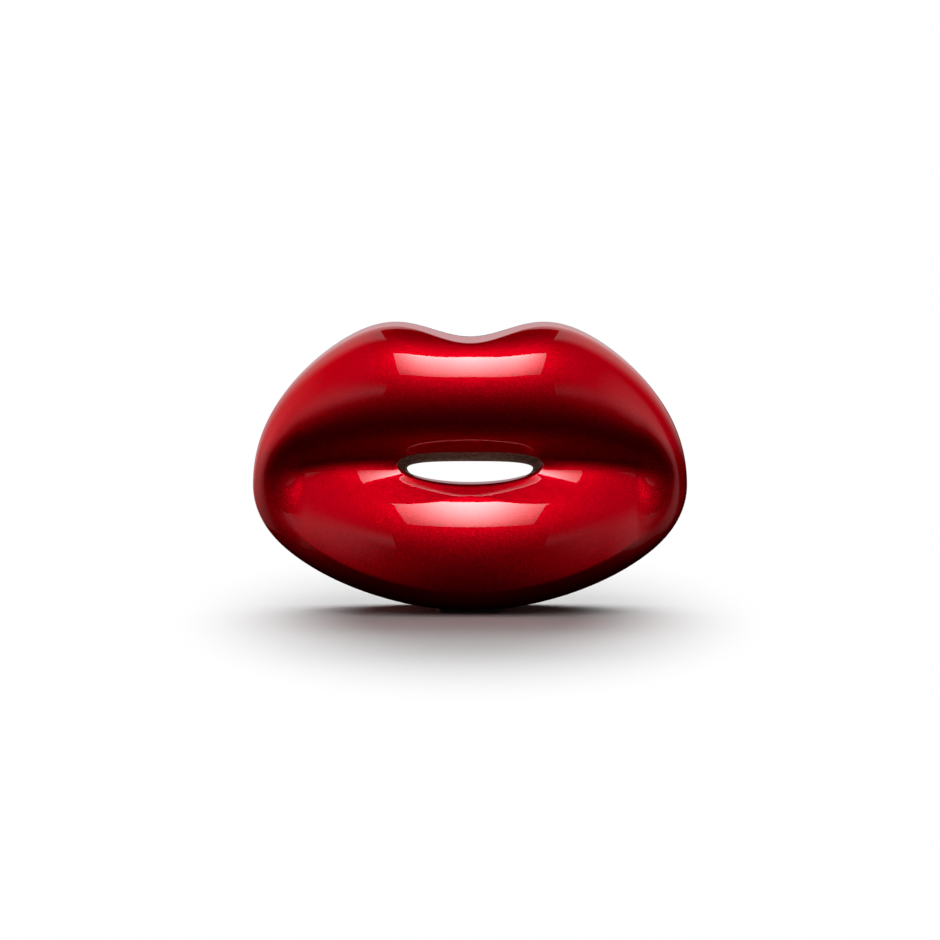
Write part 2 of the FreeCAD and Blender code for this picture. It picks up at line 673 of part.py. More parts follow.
bores.append(peg("hook_bore", "0", "plunger_back", ("0 - 1", "guide_top + 1"), "plunger_dia + 2 * plunger_gap"))
bores.append(plate("sole_pocket", "sole_long / 2 + sole_gap", "sole_thick", "sole_wide + 2 * sole_gap",
                   "0", "sole_wide / 2 + sole_gap", "0"))
YOKE_SCREWS = ["yoke_half + yoke_thick + yoke_foot / 2", "0 - yoke_half - yoke_thick - yoke_foot / 2"]
bores += [peg("yoke_pilot_%d" % i, x, "plunger_back", ("floor_block - small_long + 3", "floor_block + 1"),
              "small_dia + 2 * fit_gap") for i, x in enumerate(YOKE_SCREWS)]
node(cut("front_shell", fuse("shell_whole", skin, inside), *bores), "front_shell")

# rear cover: a shallow tray on the same outline with a locating lip
back = val("back")
tray = outline_block(0, seam, back)
edges = [edge for edge in tray.Edges if all(abs(vertex.Y - back) < 1e-6 for vertex in edge.Vertexes)]
tray = tray.makeFillet(val("cover_edge"), edges)
lip = outline_block(val("wall + lip_gap"), seam - val("lip_reach"), seam + 0.5)
room = outline_block(val("wall + lip_gap + lip_thick"), seam - val("lip_reach + 1"), val("inner"))
cover_body = form("cover_form", tray.fuse(lip).cut(room))
mouth_hole = form("cover_mouth", lens_block(duct_wire(val("liner_wall + liner_gap"), seam - 10), back - seam + 12))
pads = sides("cover_column", lambda n, x, z: rod(n, x, z, ("parting", "inner + wall / 2"), "boss_dia + 1"), COVER_SCREWS)
pads += sides("keypad_post", lambda n, x, z: rod(n, x, z, ("keypad_face", "inner + wall / 2"), "post_dia"), KEYPAD_POSTS)
pads += sides("main_post_", lambda n, x, z: rod(n, x, z, ("main_back", "inner + wall / 2"), "post_dia"), MAIN_POSTS)
pads += sides("receiver_post_", lambda n, x, z: rod(n, x, z, ("capsule_front", "inner + wall / 2"), "post_dia"),
              RECEIVER_POSTS)
MIC_OUTER = "mic_dia + 2 * boot_wall + 2 * fit_gap + 2 * socket_wall"
pads.append(rod("mic_tube", "mic_x", "mic_z", ("inner - mic_deep - boot_floor", "inner + wall / 2"), MIC_OUTER))
holes = sides("cover_hole", lambda n, x, z: rod(n, x, z, ("parting - 1", "back + 1"), "screw_dia + 2 * fit_gap"),
              COVER_SCREWS)
holes += sides("cover_sink", lambda n, x, z: rod(n, x, z, ("head_seat", "back + 1"), "head_dia + 4 * fit_gap"),
               COVER_SCREWS)
for label, face, posts in (("keypad", "keypad_face", KEYPAD_POSTS), ("main", "main_back", MAIN_POSTS),
                           ("receiver", "capsule_front", RECEIVER_POSTS)):
    holes += sides(label + "_pilot", lambda n, x, z: rod(n, x, z, (face + " - 1", face + " + small_long - board_thick + 0.5"),
                                                         "small_dia + 2 * fit_gap"), posts)
holes.append(plate("bezel_seat", "bezel_half_x + grille_gap", "bezel_half_z + grille_gap", "bezel_thick + 1",
                   "0", "back + 1", "keypad_rise", "bezel_round"))
holes.append(plate("bezel_way", "bezel_half_x - bezel_ledge", "bezel_half_z - bezel_ledge", "wall + 2",
                   "0", "back + 1", "keypad_rise"))
holes.append(rod("grille_seat", "receiver_x", "receiver_z", ("back - grille_thick", "back + 1"), "grille_dia + 2 * grille_gap"))
holes.append(rod("grille_way", "receiver_x", "receiver_z", ("inner - 1", "back"), "grille_dia - 2 * grille_ledge"))
holes.append(rod("mic_seat", "mic_x", "mic_z", ("back - grille_thick", "back + 1"), "mic_grille_dia + 2 * grille_gap"))
holes.append(rod("mic_way", "mic_x", "mic_z", ("inner - 1", "back"), "mic_grille_dia - 2 * grille_ledge"))
holes.append(rod("mic_bore", "mic_x", "mic_z", ("inner - mic_deep - boot_floor - 1", "inner"),
                 "mic_dia + 2 * boot_wall + 2 * fit_gap"))
holes.append(block("vent_seat", "0 - ringer_x", ("back - grille_thick", "back + 1"), "ringer_z",
                   "vent_long + 2 * grille_gap", "vent_high + 2 * grille_gap"))
holes.append(block("vent_way", "0 - ringer_x", ("inner - 1", "back"), "ringer_z",
                   "vent_long - 2 * grille_ledge", "vent_high - 2 * grille_ledge"))
holes += [block("slide_way_%d" % i, x, ("inner - 1", "back + 1"), "slide_rise", "knob_wide + 2 * knob_gap",
                "knob_long + knob_travel + 2 * knob_gap") for i, x in enumerate(("slide_x", "0 - slide_x"))]
holes.append(block("jack_way", "0 - jack_x", ("inner - 1", "back + 1"), "jack_rise", "jack_wide + 2 * jack_gap",
                   "jack_high + 2 * jack_gap"))
node(cut("rear_cover", fuse("cover_whole", cover_body, *pads), mouth_hole, *holes), "rear_cover")

# mouth liner: a duct that falls from the shell's collar to the cover, with a flange that laps the collar
gap = val("liner_gap")
thick = val("liner_wall")
lap = val("liner_lap")
flange = lens_block(collar_wire(gap + thick, collar_end - lap), lap + val("liner_flange"))
seat = lens_block(collar_wire(gap, collar_end - lap - 1), lap + 1)
fall = Part.makeLoft([mouth_wire(thick, collar_end), duct_wire(thick, val("inner"))], True, True)
spout = lens_block(duct_wire(thick, val("inner")), val("wall"))
throat = Part.makeLoft([mouth_wire(0, collar_end), duct_wire(0, back)], True, True)
liner = flange.cut(seat).multiFuse([fall, spout]).cut(throat)
node(form("mouth_liner", liner.Solids[0]), "mouth_liner")

# sole: a rubber pad let into the lower lip, with a hole for the plunger
pad_body = doc.addObject("PartDesign::Body", "sole_body")
pad_sketch = outline_sketch(pad_body, "XY_Plane", [(a + "sole_long / 2", b + "sole_wide / 2") for a, b in
                                                   (("0 - ", "0 - "), ("", "0 - "), ("", ""), ("0 - ", ""))])
pad = pad_body.newObject("PartDesign::Pad", "sole_pad_pad")
pad.Profile = pad_sketch
tie(pad, "Length", "sole_thick")
node(cut("sole_cut", pad_body, peg("sole_hole", "0", "plunger_back", ("0 - 1", "sole_thick + 1"),
                                   "plunger_dia + 4 * plunger_gap")), "sole_pad")

# hook: a plunger that the phone's weight pushes in, its spring, yoke, arm and switch
node(turned("plunger_body", [("0", "plunger_recess"), ("plunger_dia / 2", "plunger_recess"), ("plunger_dia / 2", "collar_low"),
                             ("collar_dia / 2", "collar_low"), ("collar_dia / 2", "spring_low"),
                             ("spindle_dia / 2", "spring_low"), ("spindle_dia / 2", "arm_low + arm_thick"),
                             ("0", "arm_low + arm_thick")], "0", "plunger_back", "0", True), "hook_plunger")
ROOF_LOW, ROOF_HIGH = "roof", "roof + yoke_thick"
YOKE_Y = ("plunger_back - yoke_wide / 2", "plunger_back + yoke_wide / 2")
yoke = [box("yoke_roof", ("0 - yoke_half - yoke_thick", "yoke_half + yoke_thick"), YOKE_Y,
            (ROOF_LOW, ROOF_HIGH))]
for i, (a, b) in enumerate((("yoke_half", "yoke_half + yoke_thick"), ("0 - yoke_half - yoke_thick", "0 - yoke_half"))):
    yoke.append(box("yoke_leg_%d" % i, (a, b), YOKE_Y, ("floor_block", ROOF_HIGH)))
for i, (a, b) in enumerate((("yoke_half", "yoke_half + yoke_thick + yoke_foot"),
                            ("0 - yoke_half - yoke_thick - yoke_foot", "0 - yoke_half"))):
    yoke.append(box("yoke_foot_%d" % i, (a, b), YOKE_Y,
                    ("floor_block", "floor_block + yoke_thick")))
yoke_bores = [peg("yoke_bore", "0", "plunger_back", (ROOF_LOW + " - 1", ROOF_HIGH + " + 1"), "spindle_dia + 2 * plunger_gap")]
yoke_bores += [peg("yoke_hole_%d" % i, x, "plunger_back", ("floor_block - 1", "floor_block + yoke_thick + 1"),
                   "small_dia + 2 * fit_gap") for i, x in enumerate(YOKE_SCREWS)]
node(cut("yoke_cut", fuse("yoke_whole", *yoke), *yoke_bores), "hook_yoke")


def screw_y(name, x, z, seat, dia, long, head, high, side):
    """a screw along y whose head sits at a value of y; side is 1 with its head to the rear, -1 to the front"""
    sign = "+" if side > 0 else "-"
    other = "-" if side > 0 else "+"
    points = [("0", "0 %s %s" % (sign, high)), ("%s / 2 - 0.4" % head, "0 %s %s" % (sign, high)),
              ("%s / 2" % head, "0 %s (%s - 0.5)" % (sign, high)), ("%s / 2" % head, "0"), ("%s / 2" % dia, "0"),
              ("%s / 2" % dia, "0 %s (%s - %s / 2)" % (other, long, dia)), ("0", "0 %s %s" % (other, long))]
    return turned(name, points, x, seat, z)


def screw_z(name, x, y, seat):
    """a small screw along z with its head up"""
    return turned(name, [("0", "small_high"), ("small_head / 2", "small_high"), ("small_head / 2", "0"),
                         ("small_dia / 2", "0"), ("small_dia / 2", "small_dia / 2 - small_long + yoke_thick + 0.6"),
                         ("0", "yoke_thick + 0.6 - small_long")], x, y, seat, True)


node(group("hook_screw_group", [screw_z("hook_screw_%d" % i, x, "plunger_back", "floor_block + yoke_thick")
                                for i, x in enumerate(YOKE_SCREWS)]), "hook_screws")
SWITCH_X = ("spindle_dia / 2 + plunger_gap + 1", "spindle_dia / 2 + plunger_gap + 1 + switch_long")
switch = [box("switch_case", SWITCH_X, ("plunger_back - switch_wide / 2", "plunger_back + switch_wide / 2"), (ROOF_HIGH, ROOF_HIGH + " + switch_high")),
          box("switch_key", (SWITCH_X[0] + " + 2", SWITCH_X[0] + " + 4"), ("plunger_back - 1", "plunger_back + 1"),
              (ROOF_HIGH + " + switch_high", ROOF_HIGH + " + switch_high + switch_button"))]
node(fuse("switch_whole", *switch), "hook_switch")
arm = box("arm_bar", ("0 - spindle_dia", SWITCH_X[0] + " + 6"), ("plunger_back - spindle_dia", "plunger_back + spindle_dia"),
          ("arm_low", "arm_low + arm_thick"))
node(cut("arm_cut", arm, peg("arm_hole", "0", "plunger_back", ("arm_low - 1", "arm_low + arm_thick + 1"),
                             "spindle_dia + 2 * fit_gap")), "hook_arm")

turns = int(round(val("coil_count")))
lift = val("spring_long - 2 * wire_dia") - 0.4
helix = Part.makeHelix(lift / turns, lift, val("coil_dia") / 2)
ring = [FreeCAD.Vector(val("coil_dia") / 2 + math.cos(math.pi * i / 4) * val("wire_dia") / 2, 0,
                       math.sin(math.pi * i / 4) * val("wire_dia") / 2) for i in range(9)]
spring = Part.Wire(helix).makePipeShell([Part.makePolygon(ring)], True, True)
spring_node = form("hook_spring_form", spring)
spring_foot = FreeCAD.Vector(0, val("plunger_back"), val("spring_low + wire_dia / 2") + 0.4)
spring_node.Placement = FreeCAD.Placement(spring_foot, FreeCAD.Rotation())
node(spring_node, "hook_spring")
spots = [FreeCAD.Vector(val("coil_dia") / 2 * math.cos(a), val("coil_dia") / 2 * math.sin(a), lift * a / (2 * math.pi * turns))
         for a in (math.radians(6 * i) for i in range(60 * turns + 1))]
nearest = min(spots[i].distanceToPoint(spots[j]) for i in range(len(spots)) for j in range(i + 30, len(spots)))
print("hook_spring least gap to itself %.2f" % (nearest - val("wire_dia")))

# ballast: an iron block cast to the lower lip's inside
ballast = common("ballast_form", box("ballast_block_", ("0 - ballast_long / 2", "ballast_long / 2"),
                                     ("0 - ballast_front", "ballast_thick - ballast_front"),
                                     ("ballast_rise", "ballast_rise + ballast_high")),
                 form("ballast_room", lips_solid(val("wall") + 0.5, seam)))
node(cut("ballast_cut", ballast, *sides("ballast_hole", lambda n, x, z: rod(
    n, x, z, ("0 - ballast_front - 1", "ballast_thick - ballast_front + 1"), "small_dia + 2 * fit_gap"), BALLAST_SCREWS),
    *sides("ballast_sink", lambda n, x, z: rod(n, x, z, ("2 - ballast_front", "ballast_thick - ballast_front + 1"),
                                               "small_head + 4 * fit_gap"), BALLAST_SCREWS)), "ballast_block")
node(group("ballast_screw_group", sides("ballast_screw", lambda n, x, z: screw_y(
    n, x, z, "2 - ballast_front", "small_dia", "small_long", "small_head", "small_high", 1), BALLAST_SCREWS)), "ballast_screws")

# keypad: bezel, twelve keys, contact mat and board
KEY_NAMES = ["key_1", "key_2", "key_3", "key_4", "key_5", "key_6", "key_7", "key_8", "key_9",
             "key_star", "key_0", "key_hash"]
KEY_SPOTS = []
for number in range(12):
    # seen from behind the first column is on the left, so it has the larger x
    KEY_SPOTS.append(("key_pitch_x * %d" % (1 - number % 3), "keypad_rise + key_pitch_z * %.1f" % (1.5 - number // 3)))
bezel = plate("bezel_body", "bezel_half_x", "bezel_half_z", "bezel_thick", "0", "back", "keypad_rise", "bezel_round")
ways = [plate("key_way_%d" % i, "key_wide / 2 + key_gap", "key_high / 2 + key_gap", "bezel_thick + 2", x, "back + 1", z,
              "key_round + key_gap") for i, (x, z) in enumerate(KEY_SPOTS)]
node(cut("bezel_cut", bezel, *ways), "keypad_bezel")
for name, (x, z) in zip(KEY_NAMES, KEY_SPOTS):
    cap = plate(name + "_cap", "key_wide / 2", "key_high / 2", "key_proud + bezel_thick", x, "back + key_proud", z, "key_round")
    flange_key = plate(name + "_flange", "key_wide / 2 + key_flange", "key_high / 2 + key_flange", "key_flange_thick",
                       x, "key_seat", z)
    stem = rod(name + "_stem", x, z, ("stem_end", "key_seat - key_flange_thick"), "key_stem_dia")
    whole_key = fuse(name + "_whole", cap, flange_key, stem)
    dish = doc.addObject("Part::Sphere", name + "_dish")
    tie(dish, "Radius", "3 * key_wide")
    place(dish, x, "back + key_proud + 3 * key_wide - 0.5", z)
    node(cut(name + "_cut", whole_key, dish), name)
mat = plate("mat_body", "keypad_board_half - 0.5", "keypad_board_tall / 2 - 0.5", "mat_thick", "0", "mat_back", "keypad_rise")
domes = [turned("dome_%d" % i, [("0", "0 - mat_thick / 2"), ("dome_dia / 2", "0 - mat_thick / 2"), ("dome_dia / 2", "0"),
                                ("dome_dia / 2 - 1.2", "dome_high"), ("0", "dome_high")], x, "mat_back", z)
         for i, (x, z) in enumerate(KEY_SPOTS)]
mat_holes = sides("mat_hole", lambda n, x, z: rod(n, x, z, ("mat_back - mat_thick - 1", "mat_back + 1"), "post_dia + 0.6"),
                  KEYPAD_POSTS)
node(cut("mat_cut", fuse("mat_whole", mat, *domes), *mat_holes), "keypad_mat")
board = plate("keypad_board_body", "keypad_board_half", "keypad_board_tall / 2", "board_thick", "0", "keypad_face",
              "keypad_rise", "2")
node(cut("keypad_board_cut", board, *sides("keypad_hole", lambda n, x, z: rod(
    n, x, z, ("keypad_face - board_thick - 1", "keypad_face + 1"), "small_dia + 2 * fit_gap"), KEYPAD_POSTS)), "keypad_board")


def small_screws(name, face, posts):
    """small screws from the front whose heads sit on a board or clamp"""
    return group(name + "_group", sides(name, lambda n, x, z: screw_y(
        n, x, z, face, "small_dia", "small_long", "small_head", "small_high", -1), posts))


node(small_screws("keypad_screw", "keypad_face - board_thick", KEYPAD_POSTS), "keypad_screws")

# receiver: capsule with magnet and diaphragm on a foam ring behind a perforated grille
disc = rod("grille_disc", "receiver_x", "receiver_z", ("back - grille_thick", "back"), "grille_dia")
grille_holes = [rod("grille_hole_mid", "receiver_x", "receiver_z", ("inner", "back + 1"), "grille_hole")]
for ring, count in ((1, 6), (2, 12)):
    for i in range(count):
        turn = 360.0 * i / count
        grille_holes.append(rod("grille_hole_%d_%d" % (ring, i),
                                "receiver_x + grille_ring * %d * cos(%g)" % (ring, turn),
                                "receiver_z + grille_ring * %d * sin(%g)" % (ring, turn),
                                ("inner", "back + 1"), "grille_hole"))
node(cut("grille_cut", disc, *grille_holes), "receiver_grille")
R = "receiver_dia / 2"
node(turned("receiver_cup", [("0", "0"), (R, "0"), (R, "receiver_deep"), (R + " - receiver_wall", "receiver_deep"),
                             (R + " - receiver_wall", "receiver_wall"), ("0", "receiver_wall")],
            "receiver_x", "capsule_front", "receiver_z"), "receiver_housing")
node(turned("magnet_body", [("0", "0"), ("magnet_dia / 2", "0"), ("magnet_dia / 2", "magnet_high"), ("0", "magnet_high")],
            "receiver_x", "capsule_front + receiver_wall", "receiver_z"), "receiver_magnet")
RIM = R + " - receiver_wall - 0.2"
LOW = "receiver_deep - cone_fall"
node(turned("cone_body", [("0", LOW), ("magnet_dia / 2", LOW), (RIM + " - 2", "receiver_deep - cone_thick"),
                          (RIM, "receiver_deep - cone_thick"), (RIM, "receiver_deep"), (RIM + " - 2", "receiver_deep"),
                          ("magnet_dia / 2", LOW + " + cone_thick"), ("0", LOW + " + cone_thick")],
            "receiver_x", "capsule_front", "receiver_z"), "receiver_diaphragm")
node(turned("gasket_body", [(R + " - gasket_wide", "0"), (R, "0"), (R, "gasket_thick"), (R + " - gasket_wide", "gasket_thick")],
            "receiver_x", "capsule_back", "receiver_z"), "receiver_gasket")
clamp = plate("clamp_body", "clamp_wide / 2", "receiver_post + clamp_wide / 2", "clamp_thick", "receiver_x", "capsule_front",
              "receiver_z", "clamp_wide / 2 - 0.5")
clamp_holes = sides("clamp_hole", lambda n, x, z: rod(n, x, z, ("capsule_front - clamp_thick - 1", "capsule_front + 1"),
                                                      "small_dia + 2 * fit_gap"), RECEIVER_POSTS)
node(cut("clamp_cut", clamp, *clamp_holes), "receiver_clamp")
node(small_screws("receiver_screw", "capsule_front - clamp_thick", RECEIVER_POSTS), "receiver_screws")

# microphone: a small capsule in a rubber boot, pushed into a tube of the cover
mic_disc = rod("mic_disc", "mic_x", "mic_z", ("back - grille_thick", "back"), "mic_grille_dia")
mic_holes = [rod("mic_hole_mid", "mic_x", "mic_z", ("inner", "back + 1"), "mic_hole")]
mic_holes += [rod("mic_hole_%d" % i, "mic_x + mic_hole * 1.9 * cos(%d)" % (60 * i), "mic_z + mic_hole * 1.9 * sin(%d)" % (60 * i),
                  ("inner", "back + 1"), "mic_hole") for i in range(6)]
node(cut("mic_grille_cut", mic_disc, *mic_holes), "microphone_grille")
M = "mic_dia / 2"
node(turned("boot_body", [("0", "0 - boot_floor"), (M + " + boot_wall", "0 - boot_floor"), (M + " + boot_wall", "mic_deep"),
                          (M + " + fit_gap", "mic_deep"), (M + " + fit_gap", "0"), ("0", "0")],
            "mic_x", "inner - mic_deep", "mic_z"), "microphone_boot")
node(turned("mic_body", [("0", "0"), (M, "0"), (M, "mic_deep - 0.5"), (M + " - 0.5", "mic_deep"), ("0", "mic_deep")],
            "mic_x", "inner - mic_deep", "mic_z"), "microphone_capsule")

# ringer: a thin sounding disc in a chamber behind a slotted grille
vent = block("vent_plate", "0 - ringer_x", ("back - grille_thick", "back"), "ringer_z", "vent_long", "vent_high")
slots = [block("vent_slot_%d" % i, "0 - ringer_x", ("inner", "back + 1"), "ringer_z + vent_pitch * %d" % i,
               "vent_long - 2 * grille_ledge", "vent_slot") for i in (-1, 0, 1)]
node(cut("vent_cut", vent, *slots), "ringer_grille")
C = "ringer_dia / 2 + fit_gap"
node(turned("chamber_body", [(C + " - chamber_seat", "chamber_wall"), (C, "chamber_wall"), (C, "0"), (C + " + chamber_wall", "0"),
                             (C + " + chamber_wall", "chamber_deep"), (C + " - chamber_seat", "chamber_deep")],
            "0 - ringer_x", "inner - chamber_deep", "ringer_z"), "ringer_chamber")
node(turned("disc_body", [("0", "0"), ("ringer_dia / 2", "0"), ("ringer_dia / 2", "ringer_thick"), ("0", "ringer_thick")],
            "0 - ringer_x", "inner - chamber_deep + chamber_wall - ringer_thick", "ringer_z"), "ringer_disc")

# main board with its transformer, capacitors and dialling circuit
main = plate("main_board_body", "main_long / 2", "main_high / 2", "board_thick", "main_x", "main_back", "main_z", "2")
node(cut("main_board_cut", main, *sides("main_hole", lambda n, x, z: rod(
    n, x, z, ("main_back - board_thick - 1", "main_back + 1"), "small_dia + 2 * fit_gap"), MAIN_POSTS)), "main_board")
node(small_screws("main_screw", "main_back - board_thick", MAIN_POSTS), "main_screws")
FACE = "main_back - board_thick"
COIL_X = "main_right - 2 * main_post - coil_long / 2"
core = block("coil_core", COIL_X, (FACE + " - coil_deep", FACE), "main_z", "coil_long", "coil_high * 0.4")
winding = rod("coil_winding", COIL_X, "main_z", (FACE + " - coil_deep + 2", FACE + " - 2"), "coil_high")
frame_ = block("coil_frame", COIL_X, (FACE + " - 2", FACE), "main_z", "coil_long", "coil_high")
top_ = block("coil_top", COIL_X, (FACE + " - coil_deep", FACE + " - coil_deep + 2"), "main_z", "coil_long", "coil_high")
node(fuse("coil_whole", core, winding, frame_, top_), "line_transformer")
CHIP_X = "main_left + 2 * main_post + chip_long / 2"
cans = []
for i in range(2):
    cans.append(turned("can_%d" % i, [("0", "0 - can_deep"), ("can_dia / 2 - 0.6", "0 - can_deep"),
                                      ("can_dia / 2", "0.6 - can_deep"), ("can_dia / 2", "0"), ("0", "0")],
                       CHIP_X + " + can_pitch * %.1f" % (i - 0.5), FACE, "main_z + can_rise"))
node(group("can_group", cans), "capacitors")
node(block("chip_block", CHIP_X, (FACE + " - chip_deep", FACE), "main_z - chip_fall", "chip_long", "chip_high"),
     "dialling_circuit")

# two slide switches: ringer and dialling mode
for name, x in (("ringer", "slide_x"), ("mode", "0 - slide_x")):
    case = block(name + "_case", x, ("inner - slide_deep", "inner"), "slide_rise", "slide_wide", "slide_long")
    way = block(name + "_way", x, ("inner - knob_in - knob_gap", "inner + 1"), "slide_rise", "knob_wide + 2 * knob_gap",
                "knob_long + knob_travel + 2 * knob_gap")
    node(cut(name + "_case_cut", case, way), name + "_switch")
    node(block(name + "_knob_block", x, ("inner - knob_in", "back + knob_proud"), "slide_rise + knob_travel / 2",
               "knob_wide", "knob_long"), name + "_knob")

# line socket: a modular jack flush with the cover, with its contact wires
JX, JZ = "0 - jack_x", "jack_rise"
jack = fuse("jack_whole", block("jack_case", JX, ("back - jack_deep", "back"), JZ, "jack_wide", "jack_high"),
            block("jack_rim", JX, ("inner - jack_flange_thick", "inner"), JZ, "jack_wide + 2 * jack_flange",
                  "jack_high + 2 * jack_flange"))
jack_bore = block("jack_bore", JX, ("back - jack_bore_deep", "back + 1"), JZ, "jack_bore_wide", "jack_bore_high")
latch_way = block("latch_way", JX, ("back - jack_bore_deep", "back + 1"), JZ + " - jack_bore_high / 2 - latch_high / 2 + 0.05",
                  "latch_wide", "latch_high + 0.1")
node(cut("jack_cut", jack, jack_bore, latch_way), "line_jack")
wires = [rod("contact_%d" % i, JX + " + contact_pitch * %.1f" % (i - 1.5), JZ + " + jack_bore_high / 2 - contact_dia / 2",
             ("back - jack_bore_deep", "back - 2"), "contact_dia") for i in range(4)]
node(group("contact_group", wires), "jack_contacts")

# screws that hold the cover
node(group("cover_screw_group", sides("cover_screw", lambda n, x, z: screw_y(
    n, x, z, "head_seat", "screw_dia", "screw_long", "head_dia", "head_high", 1), COVER_SCREWS)), "cover_screws")

doc.recompute()

for thing in doc.Objects:
    bad = [state for state in thing.State if state in ("Invalid", "Error")]
    if bad:
        raise RuntimeError("%s did not build: %s" % (thing.Label, bad))
for thing in NODES:
    if thing.Shape.isNull() or not thing.Shape.isValid():
        raise RuntimeError("%s has no sound shape" % thing.Label)

os.makedirs("parts", exist_ok=True)
for thing in NODES:
    thing.Shape.exportStep("parts/%s.step" % thing.Label)
    low, high = thing.Shape.BoundBox, thing.Shape.Volume
    print("%-20s solids %2d  volume %10.1f  x %.1f..%.1f  y %.1f..%.1f  z %.1f..%.1f" % (
        thing.Label, len(thing.Shape.Solids), high, low.XMin, low.XMax, low.YMin, low.YMax, low.ZMin, low.ZMax))
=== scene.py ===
"""Looks of the lips telephone: lacquered lips, rough mouth, satin cover, keypad and grilles.

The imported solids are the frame. The lips follow the same rule as their solid, drawn
finely enough for a mirror gloss. Lengths inside the node trees are millimetres.
"""
import json
import math

import bmesh
import bpy
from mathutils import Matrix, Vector


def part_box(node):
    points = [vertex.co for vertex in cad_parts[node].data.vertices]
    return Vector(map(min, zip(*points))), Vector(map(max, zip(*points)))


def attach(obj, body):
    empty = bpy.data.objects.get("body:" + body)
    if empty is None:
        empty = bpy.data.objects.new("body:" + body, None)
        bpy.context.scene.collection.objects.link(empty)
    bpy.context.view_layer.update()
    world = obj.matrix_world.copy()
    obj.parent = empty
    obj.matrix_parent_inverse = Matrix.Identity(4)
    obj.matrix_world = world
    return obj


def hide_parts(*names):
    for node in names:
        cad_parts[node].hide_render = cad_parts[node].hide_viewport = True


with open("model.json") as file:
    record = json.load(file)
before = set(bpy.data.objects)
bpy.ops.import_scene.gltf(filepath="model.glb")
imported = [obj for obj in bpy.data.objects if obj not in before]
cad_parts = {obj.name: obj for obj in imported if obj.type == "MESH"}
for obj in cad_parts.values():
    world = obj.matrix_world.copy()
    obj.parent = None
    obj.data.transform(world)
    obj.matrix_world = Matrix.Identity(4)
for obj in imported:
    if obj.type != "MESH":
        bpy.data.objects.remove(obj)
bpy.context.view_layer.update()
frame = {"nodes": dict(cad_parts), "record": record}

NODES = frame["nodes"]
MM = 0.001
WELD = 0.002  # neighbouring sheets are joined where their points lie this close, in millimetres


# arithmetic inside node trees

class Term:
    """one number of a node tree, with plain arithmetic on it"""

    def __init__(self, tree, socket):
        self.tree = tree
        self.socket = socket

    def step(self, operation, *others):
        made = self.tree.nodes.new("ShaderNodeMath")
        made.operation = operation
        for slot, item in zip(made.inputs, (self,) + others):
            if isinstance(item, Term):
                self.tree.links.new(item.socket, slot)
            else:
                slot.default_value = item
        return Term(self.tree, made.outputs[0])

    def __add__(self, other):
        return self.step("ADD", other)

    def __sub__(self, other):
        return self.step("SUBTRACT", other)

    def __mul__(self, other):
        return self.step("MULTIPLY", other)

    def __truediv__(self, other):
        return self.step("DIVIDE", other)

    def __pow__(self, other):
        return self.step("POWER", other)

    def __rsub__(self, other):
        return self * -1.0 + other

    __radd__ = __add__
    __rmul__ = __mul__

    def squared(self):
        return self * self

    def at_most(self, other):
        return self.step("MINIMUM", other)

    def at_least(self, other):
        return self.step("MAXIMUM", other)

    def root(self):
        return self.step("SQRT")

    def exp(self):
        return self.step("EXPONENT")

    def size(self):
        return self.step("ABSOLUTE")

    def sin(self):
        return self.step("SINE")

    def cos(self):
        return self.step("COSINE")

    def over(self, other):
        return self.step("GREATER_THAN", other)


def choose(test, yes, no):
    """yes where test is 1, no where it is 0"""
    return no + (yes - no) * test


def bell(w):
    """1 at 0, falling to both sides"""
    return (w.squared() * -1.0).exp()


def eased(w):
    """from 0 to 1, level at both ends"""
    w = w.at_least(0.0).at_most(1.0)
    return w * w * (3.0 - 2.0 * w)


class Nodes:
    """a node tree, with short ways to add to it"""

    def __init__(self, tree):
        self.tree = tree

    def new(self, kind, **settings):
        made = self.tree.nodes.new(kind)
        for key, value in settings.items():
            setattr(made, key, value)
        return made

    def link(self, source, target):
        self.tree.links.new(source.socket if isinstance(source, Term) else source, target)

    def parts(self, vector):
        """x, y and z of a vector"""
        made = self.new("ShaderNodeSeparateXYZ")
        self.link(vector, made.inputs[0])
        return [Term(self.tree, slot) for slot in made.outputs]

    def spot(self):
        """x, y and z of a place on the object"""
        return self.parts(self.new("ShaderNodeTexCoord").outputs["Object"])

    def blended(self, amount, first, second, output):
        """gives an output the first shader, and by an amount the second"""
        mix = self.new("ShaderNodeMixShader")
        self.link(amount, mix.inputs["Fac"])
        self.link(first.outputs[0], mix.inputs[1])
        self.link(second.outputs[0], mix.inputs[2])
        self.link(mix.outputs[0], self.tree.nodes[output].inputs["Surface"])


